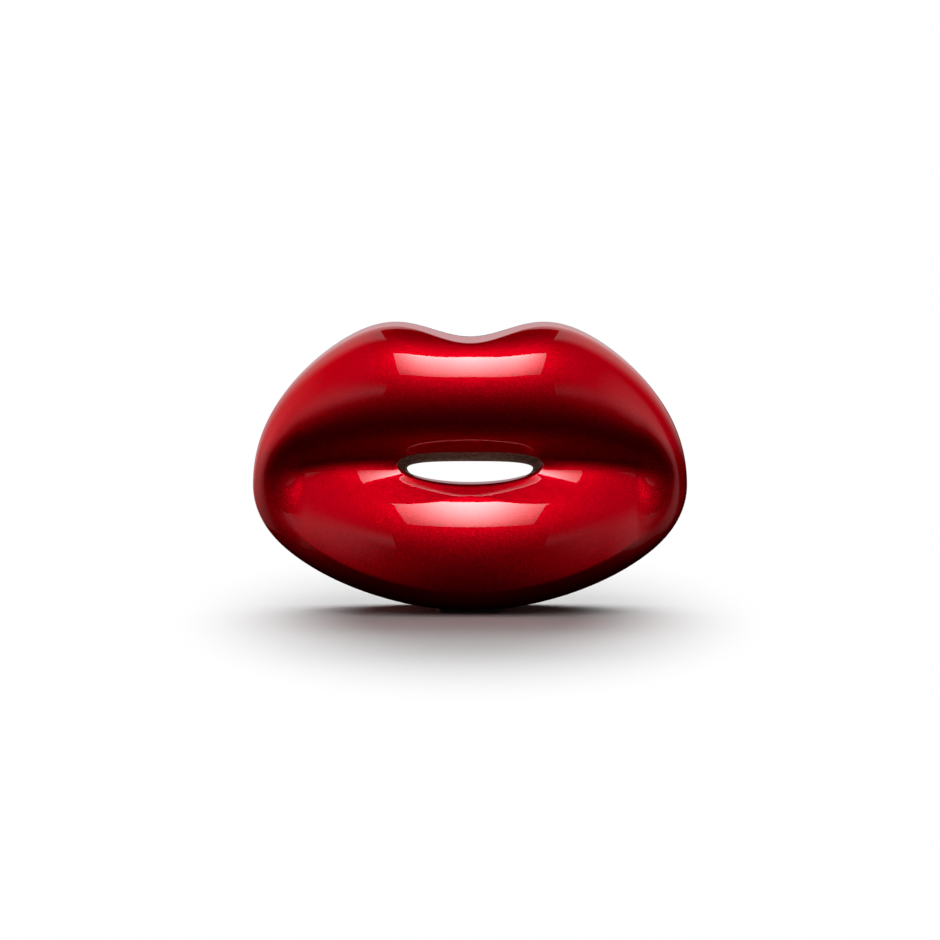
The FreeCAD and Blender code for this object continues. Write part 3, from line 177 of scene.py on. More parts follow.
class Tree(Nodes):
    """a geometry tree with named sizes"""

    def __init__(self, name, sizes, outputs=()):
        super().__init__(bpy.data.node_groups.new(name, "GeometryNodeTree"))
        for label, amount in sizes.items():
            kind = amount if isinstance(amount, str) else "Float"
            made = self.tree.interface.new_socket(label, in_out="INPUT",
                                                  socket_type="NodeSocket" + kind)
            if kind == "Float":
                made.default_value = amount
        for label in outputs or ("Geometry",):
            kind = "NodeSocketVector" if outputs else "NodeSocketGeometry"
            self.tree.interface.new_socket(label, in_out="OUTPUT", socket_type=kind)
        self.entry = self.new("NodeGroupInput")
        self.exit = self.new("NodeGroupOutput")

    def size(self, label):
        return Term(self.tree, self.entry.outputs[label])

    def number(self, amount):
        made = self.new("ShaderNodeValue")
        made.outputs[0].default_value = amount
        return Term(self.tree, made.outputs[0])

    def point(self, x, y, z):
        made = self.new("ShaderNodeCombineXYZ")
        for slot, item in zip(made.inputs, (x, y, z)):
            self.link(item, slot)
        return made.outputs[0]

    def strip(self, turns, rows, rule):
        """a sheet of quads; rule gives a point for turn 0 to 2 pi and way 0 to 1"""
        sheet = self.new("GeometryNodeMeshGrid")
        for slot, amount in zip(sheet.inputs, (1.0, 1.0, turns + 1, rows + 1)):
            slot.default_value = amount
        u, v = self.parts(self.new("GeometryNodeInputPosition").outputs[0])[:2]
        moved = self.new("GeometryNodeSetPosition")
        self.link(sheet.outputs["Mesh"], moved.inputs["Geometry"])
        self.link(rule((u + 0.5) * (2 * math.pi), v + 0.5), moved.inputs["Position"])
        return moved.outputs[0]

    def close(self, sheets, smooth=True):
        """joins the sheets into one closed skin, in metres"""
        joined = self.new("GeometryNodeJoinGeometry")
        for sheet in reversed(sheets):
            self.link(sheet, joined.inputs[0])
        merged = self.new("GeometryNodeMergeByDistance")
        merged.inputs["Distance"].default_value = WELD
        self.link(joined.outputs[0], merged.inputs[0])
        scaled = self.new("GeometryNodeTransform")
        scaled.inputs["Scale"].default_value = (MM, MM, MM)
        self.link(merged.outputs[0], scaled.inputs[0])
        shaded = self.new("GeometryNodeSetShadeSmooth")
        shaded.inputs["Shade Smooth"].default_value = smooth
        self.link(scaled.outputs[0], shaded.inputs[0])
        return shaded.outputs[0]

    def finish(self, geometry):
        """realised and with its material"""
        real = self.new("GeometryNodeRealizeInstances")
        self.link(geometry, real.inputs[0])
        dressed = self.new("GeometryNodeSetMaterial")
        self.link(real.outputs[0], dressed.inputs[0])
        self.link(self.entry.outputs["Material"], dressed.inputs["Material"])
        self.link(dressed.outputs[0], self.exit.inputs[0])
        return self.tree


def grown(name, tree, body, slot, nodes, points=(), **given):
    """runs a tree, keeps its result as a plain mesh and lets it ride on a body"""
    start = bpy.data.meshes.new(name + "_seed")
    start.from_pydata(points, [], [])
    seed = bpy.data.objects.new(name + "_seed", start)
    bpy.context.scene.collection.objects.link(seed)
    grower = seed.modifiers.new("grow", "NODES")
    grower.node_group = tree
    given["Material"] = FINISH[slot]
    for item in tree.interface.items_tree:
        if item.in_out == "INPUT" and item.name in given:
            grower[item.identifier] = given[item.name]
    ready = seed.evaluated_get(bpy.context.evaluated_depsgraph_get())
    mesh = bpy.data.meshes.new_from_object(ready)
    seed.modifiers.remove(grower)
    bpy.data.objects.remove(seed)
    return piece(name, mesh, body, slot, nodes)


def piece(name, mesh, body, slot, nodes=(), material=None):
    """a finished piece at the origin, facing outwards, that rides on a body"""
    mesh.name = name
    shape = bmesh.new()
    shape.from_mesh(mesh)
    bmesh.ops.recalc_face_normals(shape, faces=shape.faces)
    shape.to_mesh(mesh)
    shape.free()
    if not mesh.materials:
        mesh.materials.append(material or FINISH[slot])
    made = bpy.data.objects.new(name, mesh)
    bpy.context.scene.collection.objects.link(made)
    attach(made, body)
    if nodes:
        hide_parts(*nodes)
    return made


# finishes

class Finish(Nodes):
    """a material on object coordinates"""

    def __init__(self, name, colour, **sockets):
        self.material = bpy.data.materials.new(name)
        self.material.use_nodes = True
        super().__init__(self.material.node_tree)
        self.shader = self.tree.nodes["Principled BSDF"]
        self.shader.inputs["Base Color"].default_value = (*colour, 1.0)
        for label, amount in sockets.items():
            self.shader.inputs[label.replace("_", " ")].default_value = amount
        self.place = self.new("ShaderNodeTexCoord").outputs["Object"]

    def noise(self, grain, detail=3.0, rough=0.5, stretch=None):
        """noise with grains of a size in millimetres"""
        made = self.new("ShaderNodeTexNoise")
        made.inputs["Scale"].default_value = 1 / MM / grain
        made.inputs["Detail"].default_value = detail
        made.inputs["Roughness"].default_value = rough
        source = self.place
        if stretch:
            turned = self.new("ShaderNodeMapping")
            turned.inputs["Scale"].default_value = stretch
            self.link(self.place, turned.inputs["Vector"])
            source = turned.outputs[0]
        self.link(source, made.inputs["Vector"])
        return made.outputs["Fac"]

    def cells(self, grain):
        """cells of a size in millimetres"""
        made = self.new("ShaderNodeTexVoronoi", feature="F1")
        made.inputs["Scale"].default_value = 1 / MM / grain
        self.link(self.place, made.inputs["Vector"])
        return made

    def ramp(self, source, low, high, start=0.3, end=0.7):
        """a number between two values, or a colour between two colours"""
        if isinstance(low, tuple):
            made = self.new("ShaderNodeValToRGB")
            made.color_ramp.elements[0].position = start
            made.color_ramp.elements[1].position = end
            made.color_ramp.elements[0].color = (*low, 1.0)
            made.color_ramp.elements[1].color = (*high, 1.0)
            self.link(source, made.inputs["Fac"])
            return made.outputs["Color"]
        made = self.new("ShaderNodeMapRange")
        for label, amount in (("From Min", start), ("From Max", end), ("To Min", low), ("To Max", high)):
            made.inputs[label].default_value = amount
        self.link(source, made.inputs["Value"])
        return made.outputs["Result"]

    def to(self, source, label):
        self.link(source, self.shader.inputs[label])

    def bump(self, source, height, strength, label="Normal"):
        """relief of a height in millimetres"""
        made = self.new("ShaderNodeBump")
        made.inputs["Strength"].default_value = strength
        made.inputs["Distance"].default_value = height * MM
        self.link(source, made.inputs["Height"])
        self.to(made.outputs[0], label)


FLAKE = 0.34  # size of a metal flake, in millimetres
FLAKE_LEAN = 0.16  # how far a flake leans, as a share of its normal


def lacquer():
    """candy red over fine metal flake, under a thick clear gloss"""
    made = Finish("candy_lacquer", (0.5, 0.0, 0.008), Metallic=1.0, Coat_Weight=1.0, Coat_Roughness=0.02,
                  Coat_IOR=1.5, IOR=1.5, Specular_Tint=(1.0, 0.12, 0.14, 1.0))
    flake = made.cells(FLAKE)
    made.to(made.ramp(made.noise(0.9, 2.0), (0.46, 0.0, 0.007), (0.54, 0.0, 0.009)), "Base Color")
    made.to(made.ramp(flake.outputs["Distance"], 0.43, 0.51, 0.0, 0.8), "Roughness")
    lean = made.new("ShaderNodeVectorMath", operation="SUBTRACT")
    made.link(flake.outputs["Color"], lean.inputs[0])
    lean.inputs[1].default_value = (0.5, 0.5, 0.5)
    soft = made.new("ShaderNodeVectorMath", operation="SCALE")
    made.link(lean.outputs[0], soft.inputs[0])
    soft.inputs["Scale"].default_value = FLAKE_LEAN
    facing = made.new("ShaderNodeVectorMath", operation="ADD")
    made.link(made.new("ShaderNodeNewGeometry").outputs["Normal"], facing.inputs[0])
    made.link(soft.outputs[0], facing.inputs[1])
    level = made.new("ShaderNodeVectorMath", operation="NORMALIZE")
    made.link(facing.outputs[0], level.inputs[0])
    made.to(level.outputs[0], "Normal")
    made.bump(made.noise(2.2, 2.0), 0.012, 0.35, "Coat Normal")
    return made.material


def rough_brown():
    """bare brown moulding, coarse as cast"""
    made = Finish("rough_brown", (0.035, 0.02, 0.014), Specular_IOR_Level=0.25)
    grain = made.noise(1.6, 6.0, 0.65)
    made.to(made.ramp(grain, (0.09, 0.032, 0.018), (0.42, 0.21, 0.12), 0.32, 0.68), "Base Color")
    made.to(made.ramp(made.noise(0.7, 2.0), 0.7, 0.95), "Roughness")
    made.bump(made.noise(0.5, 4.0, 0.6), 0.25, 0.8)
    return made.material


def satin(name, colour, lighter, grain=0.55, rough=(0.36, 0.5), height=0.03):
    """moulded plastic with a fine etched grain"""
    made = Finish(name, colour)
    made.to(made.ramp(made.noise(9.0, 4.0), colour, lighter), "Base Color")
    made.to(made.ramp(made.noise(3.0, 3.0), rough[0], rough[1]), "Roughness")
    made.bump(made.noise(grain, 2.0), height, 0.6)
    return made.material


def gloss_black():
    """black gloss moulding with the faint haze of handling"""
    made = Finish("gloss_black", (0.012, 0.011, 0.012), Coat_Weight=0.6, Coat_Roughness=0.04)
    haze = made.noise(14.0, 5.0, 0.6)
    made.to(made.ramp(haze, (0.009, 0.008, 0.009), (0.018, 0.016, 0.017)), "Base Color")
    made.to(made.ramp(made.noise(5.0, 5.0, 0.65), 0.14, 0.34), "Roughness")
    made.bump(made.noise(4.0, 1.0), 0.01, 0.4)
    return made.material


def ivory():
    """ivory key plastic, a little mottled and rubbed smooth"""
    made = Finish("ivory_key", (0.78, 0.74, 0.66), Subsurface_Weight=0.06, Subsurface_Scale=0.002)
    made.to(made.ramp(made.noise(3.5, 4.0), (0.74, 0.69, 0.6), (0.82, 0.785, 0.71)), "Base Color")
    made.to(made.ramp(made.noise(1.8, 4.0), 0.28, 0.46), "Roughness")
    made.bump(made.noise(0.4, 2.0), 0.01, 0.5)
    return made.material


def rubber(name, dark, light, grain=0.6):
    """dull rubber and foam"""
    made = Finish(name, dark, Specular_IOR_Level=0.3)
    made.to(made.ramp(made.noise(4.0, 5.0, 0.6), dark, light), "Base Color")
    made.to(made.ramp(made.noise(1.2, 3.0), 0.7, 0.9), "Roughness")
    made.bump(made.noise(grain, 3.0), 0.06, 0.7)
    return made.material


def metal(name, dark, light, rough, grain=0.6, stretch=None):
    """bare metal, with brushed grain where it is stretched"""
    made = Finish(name, dark, Metallic=1.0)
    made.to(made.ramp(made.noise(2.5, 4.0), dark, light), "Base Color")
    made.to(made.ramp(made.noise(grain, 4.0, 0.6, stretch), rough[0], rough[1]), "Roughness")
    made.bump(made.noise(grain, 3.0, 0.5, stretch), 0.01, 0.5)
    return made.material


def pressed(name, dark, light, grain, height):
    """board, paper and foam: fibres pressed flat"""
    made = Finish(name, dark, Specular_IOR_Level=0.3)
    fibre = made.noise(grain, 6.0, 0.65, (1.0, 1.0, 0.35))
    made.to(made.ramp(fibre, dark, light), "Base Color")
    made.to(made.ramp(made.noise(grain * 2, 3.0), 0.55, 0.8), "Roughness")
    made.bump(fibre, height, 0.6)
    return made.material


FINISH = {
    "red_lacquer": lacquer(),
    "brown_plastic": rough_brown(),
    "dark_plastic": satin("satin_dark", (0.03, 0.019, 0.017), (0.042, 0.028, 0.025)),
    "black_gloss": gloss_black(),
    "ivory_plastic": ivory(),
    "black_rubber": rubber("sole_rubber", (0.014, 0.014, 0.014), (0.028, 0.027, 0.026)),
    "grey_rubber": rubber("grey_foam", (0.15, 0.15, 0.15), (0.24, 0.24, 0.24), 1.0),
    "steel": metal("plated_steel", (0.5, 0.5, 0.49), (0.68, 0.67, 0.64), (0.24, 0.4)),
    "iron": metal("cast_iron", (0.08, 0.08, 0.08), (0.15, 0.145, 0.14), (0.5, 0.75), 1.2),
    "circuit_board": pressed("tan_board", (0.28, 0.18, 0.07), (0.4, 0.28, 0.12), 1.5, 0.02),
    "paper": pressed("pressed_paper", (0.24, 0.22, 0.19), (0.36, 0.34, 0.3), 1.0, 0.04),
    "aluminium": metal("plain_aluminium", (0.62, 0.62, 0.64), (0.76, 0.76, 0.78), (0.3, 0.45), 0.5,
                       (1.0, 6.0, 1.0)),
    "brass": metal("plain_brass", (0.6, 0.45, 0.18), (0.78, 0.62, 0.3), (0.22, 0.36)),
}
INK = satin("key_ink", (0.016, 0.014, 0.014), (0.03, 0.027, 0.026), 0.3, (0.4, 0.55), 0.005)

# every solid that stays in sight takes the finish that the record gives it
for part in frame["record"]["subparts"]:
    solid = NODES[part["node"]]
    solid.data.materials.clear()
    solid.data.materials.append(FINISH[part["material_slot"]])

# the lips, in the same words as their solid
LINER_LAP = 2.5
COLLAR_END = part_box("mouth_liner")[0].y / MM + LINER_LAP
LIPS = {
    "Half Width": 107.5, "Upper Rise": 92.3, "Upper Shoulder": 15.0, "Upper Corner": 11.2,
    "Bow Dip": 19.9, "Bow Width": 32.4, "Lower Rise": 61.3, "Lower Shoulder": 7.7,
    "Lower Corner": 7.2, "Mouth Lift": 11.4, "Mouth Half": 35.6, "Mouth Rise": 5.9,
    "Mouth Drop": 9.6, "Mouth Square": 0.35, "Parting": 17.0, "Skirt Depth": 28.0,
    "Corner Back": 10.0, "Lip Crown": 29.0, "Lip Full": 2.3, "Upper Taper": 0.5,
    "Lower Taper": 0.8, "Bow Fill": 6.5, "Bow Fill Width": 20.0, "Valley Lift": 13.0,
    "Valley Depth": 29.0, "Valley Up": 10.5, "Valley Down": 25.5, "Valley Floor": 9.0,
    "Valley Fade": 0.7, "Valley End": 0.24, "Wall": 2.6, "Sole Proud": 1.2, "Collar End": COLLAR_END,
    "Edge Ridge": 2.6, "Edge Band": 11.0, "Edge Fall": 17.0,
    "Roll Line": 5.6, "Roll Flare": 24.0, "Roll Drop": 1.2,
}
# shares of the wall by which the hollow's crown is drawn in and its mouth let out
CROWN_INSET = 1.1
MOUTH_INSET = 1.3
# height over which the lower lip's taper turns into the upper lip's
TAPER_BLEND = 40.0
# the bow's edge: what is left of the cushion, height and reach of the round behind it, the slope
# below that, and how sharply the round meets the cushion
BOW_LEFT, BOW_HIGH, BOW_ROUND, BOW_SLOPE, BOW_BLEND = 0.65, 26.0, 14.0, 2.0, 6.0
# the sine of the turn at which the ridge and the roll begin, and over which they reach their height
RIDGE_START, RIDGE_RUN = -0.28, 0.65
ROLL_START, ROLL_RUN = 0.25, 0.7
# the ridge is lower under the mouth's middle: its share there, and how far that reaches aside
RIDGE_MIDDLE, RIDGE_ASIDE = 0.25, 0.5


def lips_form():
    """a point of the lips for a turn round the mouth and a way from the outer edge to the rim"""
    sizes = {"Turn": 0.0, "Across": 0.0, "Inset": 0.0, "Rim Round": 0.0, **LIPS}
    made = Tree("lips_form", sizes, ("Point",))
    size = {label: made.size(label) for label in sizes}
    inset = size["Inset"]
    full = size["Half Width"]
    width = full - inset
    upper = size["Upper Rise"] - inset
    lower = size["Lower Rise"] - inset
    crown = size["Lip Crown"] - inset * CROWN_INSET
    corner = size["Sole Proud"] + size["Lower Rise"]
    mouth = corner + size["Mouth Lift"]
    valley_z = corner + size["Valley Lift"]
    skirt = size["Parting"] - size["Skirt Depth"]
    floor = size["Valley Floor"]
    still = made.number(0.0)

    def upper_edge(x):
        c = (x / width).squared().at_most(1.0)
        rise = upper - size["Upper Shoulder"] * c + size["Upper Corner"] * c * c
        return corner + (1.0 - c).root() * rise - size["Bow Dip"] * bell(x / size["Bow Width"])

    def lower_edge(x):
        c = (x / width).squared().at_most(1.0)
        rise = lower - size["Lower Shoulder"] * c + size["Lower Corner"] * c * c
        return corner - (1.0 - c).root() * rise

    def line(x):
        return valley_z + (corner - valley_z) * (x / full).squared().squared()

    def reach(x, above):
        bridged = upper_edge(x) + size["Bow Fill"] * bell(x / size["Bow Fill Width"])
        return choose(above, bridged - line(x), line(x) - lower_edge(x))

    def cushion(x, z):
        """a full cushion with a valley between the lips"""
        rest = z - line(x)
        above = rest.over(0.0)
        span = reach(x, above)
        v = (rest.size() / span.at_least(1e-6)).at_most(1.0)
        section = (1.0 - v ** size["Lip Full"]).at_least(0.0) ** (made.number(1.0) / size["Lip Full"])
        narrow = (1.0 - (x / width).squared()).at_least(0.0)
        upward = eased(rest / TAPER_BLEND + 0.5)
        taper = size["Lower Taper"] + (size["Upper Taper"] - size["Lower Taper"]) * upward
        slope = choose(above, size["Valley Up"], size["Valley Down"])
        slope = slope * (span / reach(still, above)).at_least(0.02).root()
        away = (rest.squared() + floor.squared()).root() - floor
        valley = size["Valley Depth"] * (1.0 - (x / full).squared()).at_least(0.0) ** size["Valley Fade"]
        valley = valley * eased((1.0 - x.size() / full) / size["Valley End"])
        return crown * narrow ** taper * section - valley * (away / slope * -1.0).exp(), above

    def swell(x, z):
        """the bow's dip cuts into the cushion with a rounded edge"""
        f, above = cushion(x, z)
        top = upper_edge(x)
        under = (top - z).at_least(0.0)
        edge = cushion(x, top)[0].at_least(0.0) * BOW_LEFT + under * BOW_SLOPE
        edge = edge + (1.0 - (1.0 - (under / BOW_ROUND).at_most(1.0)).squared()).root() * BOW_HIGH
        cut = (f.at_least(1e-3) ** -BOW_BLEND + edge.at_least(1e-3) ** -BOW_BLEND) ** (-1.0 / BOW_BLEND)
        return choose(above * f.over(0.0), cut, f)

    c = size["Turn"].cos()
    s = size["Turn"].sin()
    above = s.over(0.0)
    xo = width * c
    zo = choose(above, upper_edge(xo), lower_edge(xo))
    xi = (size["Mouth Half"] + inset * MOUTH_INSET) * c
    rise = (size["Mouth Rise"] + inset) * (1.0 + size["Mouth Square"] * c * c)
    zi = mouth + s * choose(above, rise, size["Mouth Drop"] + inset)
    t = (1.0 - size["Across"].cos()) * 0.5
    x = xo + (xi - xo) * t
    z = zo + (zi - zo) * t
    y = skirt - swell(x, z) + size["Corner Back"] * (x / width).squared()
    # the lower lip ends in a crisp ridge with a darker band outside it
    spoke = ((xi - xo).squared() + (zi - zo).squared()).root()
    from_edge = spoke * t
    fall = (1.0 - (from_edge - size["Edge Band"]) / size["Edge Fall"]).at_least(0.0).squared()
    ridge = (from_edge / size["Edge Band"]).at_most(fall)
    aside = eased(c.size() / RIDGE_ASIDE) * (1.0 - RIDGE_MIDDLE) + RIDGE_MIDDLE
    y = y - size["Edge Ridge"] * ridge * aside * eased((RIDGE_START - s) / RIDGE_RUN)
    # the lower lip rolls over a fine line before the mouth
    left = spoke * (1.0 - t)
    roll = size["Roll Line"] + size["Roll Flare"] * c * c
    y = y + size["Roll Drop"] * (1.0 - left / roll).at_least(0.0) * eased((ROLL_START - s) / ROLL_RUN)
    # the rim turns into the mouth with a small round
    round_ = size["Rim Round"]
    short = round_ - left.at_most(round_)
    y = y + round_ - (round_.squared() - short.squared()).at_least(0.0).root()
    made.link(made.point(x, y, z), made.exit.inputs["Point"])
    return made.tree


FORM = lips_form()
LIPS_TURNS = 384


def lips_shell():
    """the whole moulded shell: side, crown, rim, collar and the hollow behind them"""
    made = Tree("lips_shell", {**LIPS, "Edge Round": 0.45, "Rim Round": 1.3, "Material": "Material"})
    size = made.size

    def form(turn, across, inset, rim_round=0.0):
        call = made.new("GeometryNodeGroup", node_tree=FORM)
        made.link(turn, call.inputs["Turn"])
        for label, item in (("Across", across), ("Inset", inset), ("Rim Round", rim_round)):
            if isinstance(item, Term):
                made.link(item, call.inputs[label])
            else:
                call.inputs[label].default_value = item
        for label in LIPS:
            made.link(made.entry.outputs[label], call.inputs[label])
        return made.parts(call.outputs["Point"])

    edge = size("Edge Round")
    wall = size("Wall")
    parting = size("Parting")
    rim_round = size("Rim Round")
    end = size("Collar End")

    def seam(turn, way):
        angle = way * (math.pi / 2)
        x, _, z = form(turn, 0.0, edge * (1.0 - angle.sin()))
        return made.point(x, parting - edge + edge * angle.cos(), z)

    def side(turn, way):
        x, y, z = form(turn, 0.0, 0.0)
        return made.point(x, (parting - edge) + (y - parting + edge) * way, z)

    def crown(turn, way):
        return made.point(*form(turn, way * math.pi, 0.0, rim_round))

    def collar(turn, way):
        x, y, z = form(turn, math.pi, 0.0, rim_round)
        return made.point(x, y + (end - y) * way, z)

    def collar_foot(turn, way):
        x, _, z = form(turn, math.pi, wall * way)
        return made.point(x, end, z)

    def collar_back(turn, way):
        x, y, z = form(turn, math.pi, wall)
        return made.point(x, end + (y - end) * way, z)

    def hollow(turn, way):
        return made.point(*form(turn, (1.0 - way) * math.pi, wall))

    def hollow_side(turn, way):
        x, y, z = form(turn, 0.0, wall)
        return made.point(x, y + (parting - y) * way, z)

    def land(turn, way):
        x, _, z = form(turn, 0.0, wall + (edge - wall) * way)
        return made.point(x, parting, z)

    rows = ((seam, 5), (side, 8), (crown, 128), (collar, 8), (collar_foot, 1), (collar_back, 3),
            (hollow, 36), (hollow_side, 3), (land, 1))
    return made.finish(made.close([made.strip(LIPS_TURNS, count, rule) for rule, count in rows]))


grown("lips", lips_shell(), "phone", "red_lacquer", ["front_shell"])


# mouth liner: a rough duct that falls to the rear, with a flange behind the collar

LINER_TURNS = 256
BACK = 23.0  # rear face of the cover
LINER = {
    "Mouth Half": LIPS["Mouth Half"], "Mouth Rise": LIPS["Mouth Rise"], "Mouth Drop": LIPS["Mouth Drop"],
    "Mouth Square": LIPS["Mouth Square"], "Mouth Height": 73.9, "Shell Wall": LIPS["Wall"],
    "Duct Half": 31.6, "Duct Rise": 3.4, "Duct Drop": 8.2, "Duct Height": 68.5,
    "Liner Wall": 1.1, "Liner Gap": 0.25, "Flange": 1.6, "Lap": LINER_LAP,
    "Collar End": COLLAR_END, "Back": BACK, "Roughness": 0.55, "Grain": 1.3,
    "Smooth Start": 0.25, "Smooth Ends": 16.0, "Material": "Material",
}


def liner_tree():
    """a closed skin from rings of the duct and of the flange's lap round the collar"""
    made = Tree("mouth_liner_form", LINER)
    size = made.size
    zero = made.number(0.0)

    def mouth(grow, y):
        return [size("Mouth Half") + grow, size("Mouth Rise") + grow, size("Mouth Drop") + grow,
                size("Mouth Height"), y]

    def collar(grow, y):
        wall = size("Shell Wall")
        return [size("Mouth Half") + wall * MOUTH_INSET + grow, size("Mouth Rise") + wall + grow,
                size("Mouth Drop") + wall + grow, size("Mouth Height"), y]

    def duct(grow, y):
        return [size("Duct Half") + grow, size("Duct Rise") + grow, size("Duct Drop") + grow,
                size("Duct Height"), y]

    def between(first, last, part):
        return [a + (b - a) * part for a, b in zip(first, last)]

    def lens(turn, shape, grow):
        half, rise, drop, height, y = shape
        c, s = turn.cos(), turn.sin()
        tall = choose(s.over(0.0), (rise + grow) * (1.0 + size("Mouth Square") * c * c), drop + grow)
        return made.point((half + grow) * c, y, height + s * tall)

    def run(first, last, rough=False):
        def rule(turn, way):
            shape = between(first, last, way)
            grow = zero
            if rough:
                grain = made.new("ShaderNodeTexNoise")
                made.link(lens(turn, shape, zero), grain.inputs["Vector"])
                made.link(size("Grain"), grain.inputs["Scale"])
                grain.inputs["Detail"].default_value = 3.0
                rise = (Term(made.tree, grain.outputs["Fac"]) - size("Smooth Start")).at_least(0.0)
                ends = eased(way * size("Smooth Ends")) * eased((1.0 - way) * size("Smooth Ends"))
                grow = rise * size("Roughness") * ends
            return lens(turn, shape, grow)
        return rule

    end, back, wall, gap = size("Collar End"), size("Back"), size("Liner Wall"), size("Liner Gap")
    foot = end + size("Flange")
    outer = between(mouth(wall, end), duct(wall, back), size("Flange") / (back - end))
    outer[4] = foot
    ring = [mouth(0.0, end), duct(0.0, back), duct(wall, back), outer, collar(gap + wall, foot),
            collar(gap + wall, end - size("Lap")), collar(gap, end - size("Lap")), collar(gap, end)]
    # the wall that shows is rough and finely divided, and the duct's outside follows its fall
    sheets = [made.strip(LINER_TURNS, 52, run(ring[0], ring[1], True))]
    for i in range(1, len(ring)):
        rows = 8 if i == 2 else 1
        sheets.append(made.strip(LINER_TURNS, rows, run(ring[i], ring[(i + 1) % len(ring)])))
    return made.finish(made.close(sheets, smooth=False))


grown("mouth_liner_rough", liner_tree(), "phone", "brown_plastic", ["mouth_liner"])


# keys, knobs and other small mouldings from rings of rounded rectangles

def ring_points(half_x, half_z, corner, count=8, along=8):
    """a rounded rectangle round the origin, turning from x to z, divided along its sides too"""
    corners = []
    for i, (sx, sz) in enumerate(((1, 1), (-1, 1), (-1, -1), (1, -1))):
        angles = [math.pi / 2 * (i + j / (count - 1)) for j in range(count)]
        corners.append([(sx * (half_x - corner) + corner * math.cos(angle),
                         sz * (half_z - corner) + corner * math.sin(angle)) for angle in angles])
    made = []
    for here, after in zip(corners, corners[1:] + corners[:1]):
        made += here
        for k in range(1, along):
            made.append(tuple(a + (b - a) * k / along for a, b in zip(here[-1], after[0])))
    return made


DISH_STEPS = (0.85, 0.65, 0.42, 0.2)  # rings of a dished face, as shares of its edge


def ringed(shape, x, z, rings, dish=None):
    """adds a closed form of rings (half_x, half_z, corner, y); dish gives the rise of its last face"""
    loops = []
    for half_x, half_z, corner, y in rings:
        loops.append([shape.verts.new(((x + px) * MM, y * MM, (z + pz) * MM))
                      for px, pz in ring_points(half_x, half_z, corner)])
    if dish:
        last = ring_points(*rings[-1][:3])
        for part in DISH_STEPS:
            inner = [(px * part, pz * part) for px, pz in last]
            loops.append([shape.verts.new(((x + px) * MM, dish(px, pz) * MM, (z + pz) * MM))
                          for px, pz in inner])
    count = len(loops[0])
    for low, high in zip(loops, loops[1:]):
        for i in range(count):
            j = (i + 1) % count
            shape.faces.new((low[i], low[j], high[j], high[i]))
    shape.faces.new(loops[0])
    shape.faces.new(loops[-1])


SHARP = math.radians(35)  # edges that turn further stay crisp


def moulded(name, body, slot, nodes, forms):
    """a piece from one or more ringed forms"""
    shape = bmesh.new()
    for form in forms:
        ringed(shape, *form)
    bmesh.ops.remove_doubles(shape, verts=shape.verts, dist=1e-7)
    for face in shape.faces:
        face.smooth = True
    mesh = bpy.data.meshes.new(name)
    shape.to_mesh(mesh)
    shape.free()
    mesh.set_sharp_from_angle(angle=SHARP)
    return piece(name, mesh, body, slot, nodes)


def rounded(half_x, half_z, corner, low, high, edge, draft=0.0, steps=4):
    """rings of a block from low to high with its last edge rounded"""
    made = [(half_x, half_z, corner, low),
            (half_x - draft, half_z - draft, corner - draft / 2, high - edge)]
    for i in range(1, steps + 1):
        angle = math.pi / 2 * i / steps
        inward = draft + edge * (1 - math.cos(angle))
        made.append((half_x - inward, half_z - inward, max(corner - inward, 0.2),
                     high - edge + edge * math.sin(angle)))
    return made


KEYS = {"key_1": "1", "key_2": "2", "key_3": "3", "key_4": "4", "key_5": "5", "key_6": "6",
        "key_7": "7", "key_8": "8", "key_9": "9", "key_star": "*", "key_0": "0", "key_hash": "#"}
BODY_OF = {node: body for body, members in frame["record"]["behaviour"]["bodies"].items()
           for node in members}
# a key: its hollowed face, the cap above the cover, the flange under it, and the stem
DISH_LOW, DISH_RADIUS = 1.5, 31.2
CAP_HIGH, FLANGE_TOP = 1.95, 1.6
STEM, STEM_LONG = 2.0, 2.0
FLANGE = (6.0, 4.3, 0.4)
# the print: height of the figures and of the star, thickness, weight and rise above the face
FIGURE_HIGH, STAR_HIGH = 5.4, 7.2
PRINT_THICK, PRINT_WEIGHT, PRINT_RISE = 0.04, 0.06, 0.02


def dished(px, pz):
    """height of a key's hollowed face"""
    return BACK + DISH_LOW + DISH_RADIUS - math.sqrt(DISH_RADIUS ** 2 - px * px - pz * pz)


def spot_of(node):
    """x and z of a solid's middle and y of its front, in millimetres"""
    low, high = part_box(node)
    return (low.x + high.x) / 2 / MM, (low.z + high.z) / 2 / MM, low.y / MM


def printed(name, text, node, x, z):
    """a number printed on a key's face"""
    writing = bpy.data.curves.new(name, "FONT")
    writing.body = text
    writing.align_x = "CENTER"
    writing.align_y = "CENTER"
    writing.size = STAR_HIGH if text == "*" else FIGURE_HIGH
    writing.extrude = PRINT_THICK
    writing.offset = PRINT_WEIGHT
    writing.resolution_u = 5
    holder = bpy.data.objects.new(name + "_text", writing)
    bpy.context.scene.collection.objects.link(holder)
    mesh = bpy.data.meshes.new_from_object(holder.evaluated_get(bpy.context.evaluated_depsgraph_get()))
    bpy.data.objects.remove(holder)
    low = min(corner.co.y for corner in mesh.vertices)
    high = max(corner.co.y for corner in mesh.vertices)
    for corner in mesh.vertices:
        u, v, w = corner.co
        v -= (low + high) / 2
        corner.co = ((x - u) * MM, (dished(u, v) + PRINT_RISE + w) * MM, (z + v) * MM)
    mesh.materials.clear()
    return piece(name, mesh, BODY_OF[node], "black_gloss", material=INK)


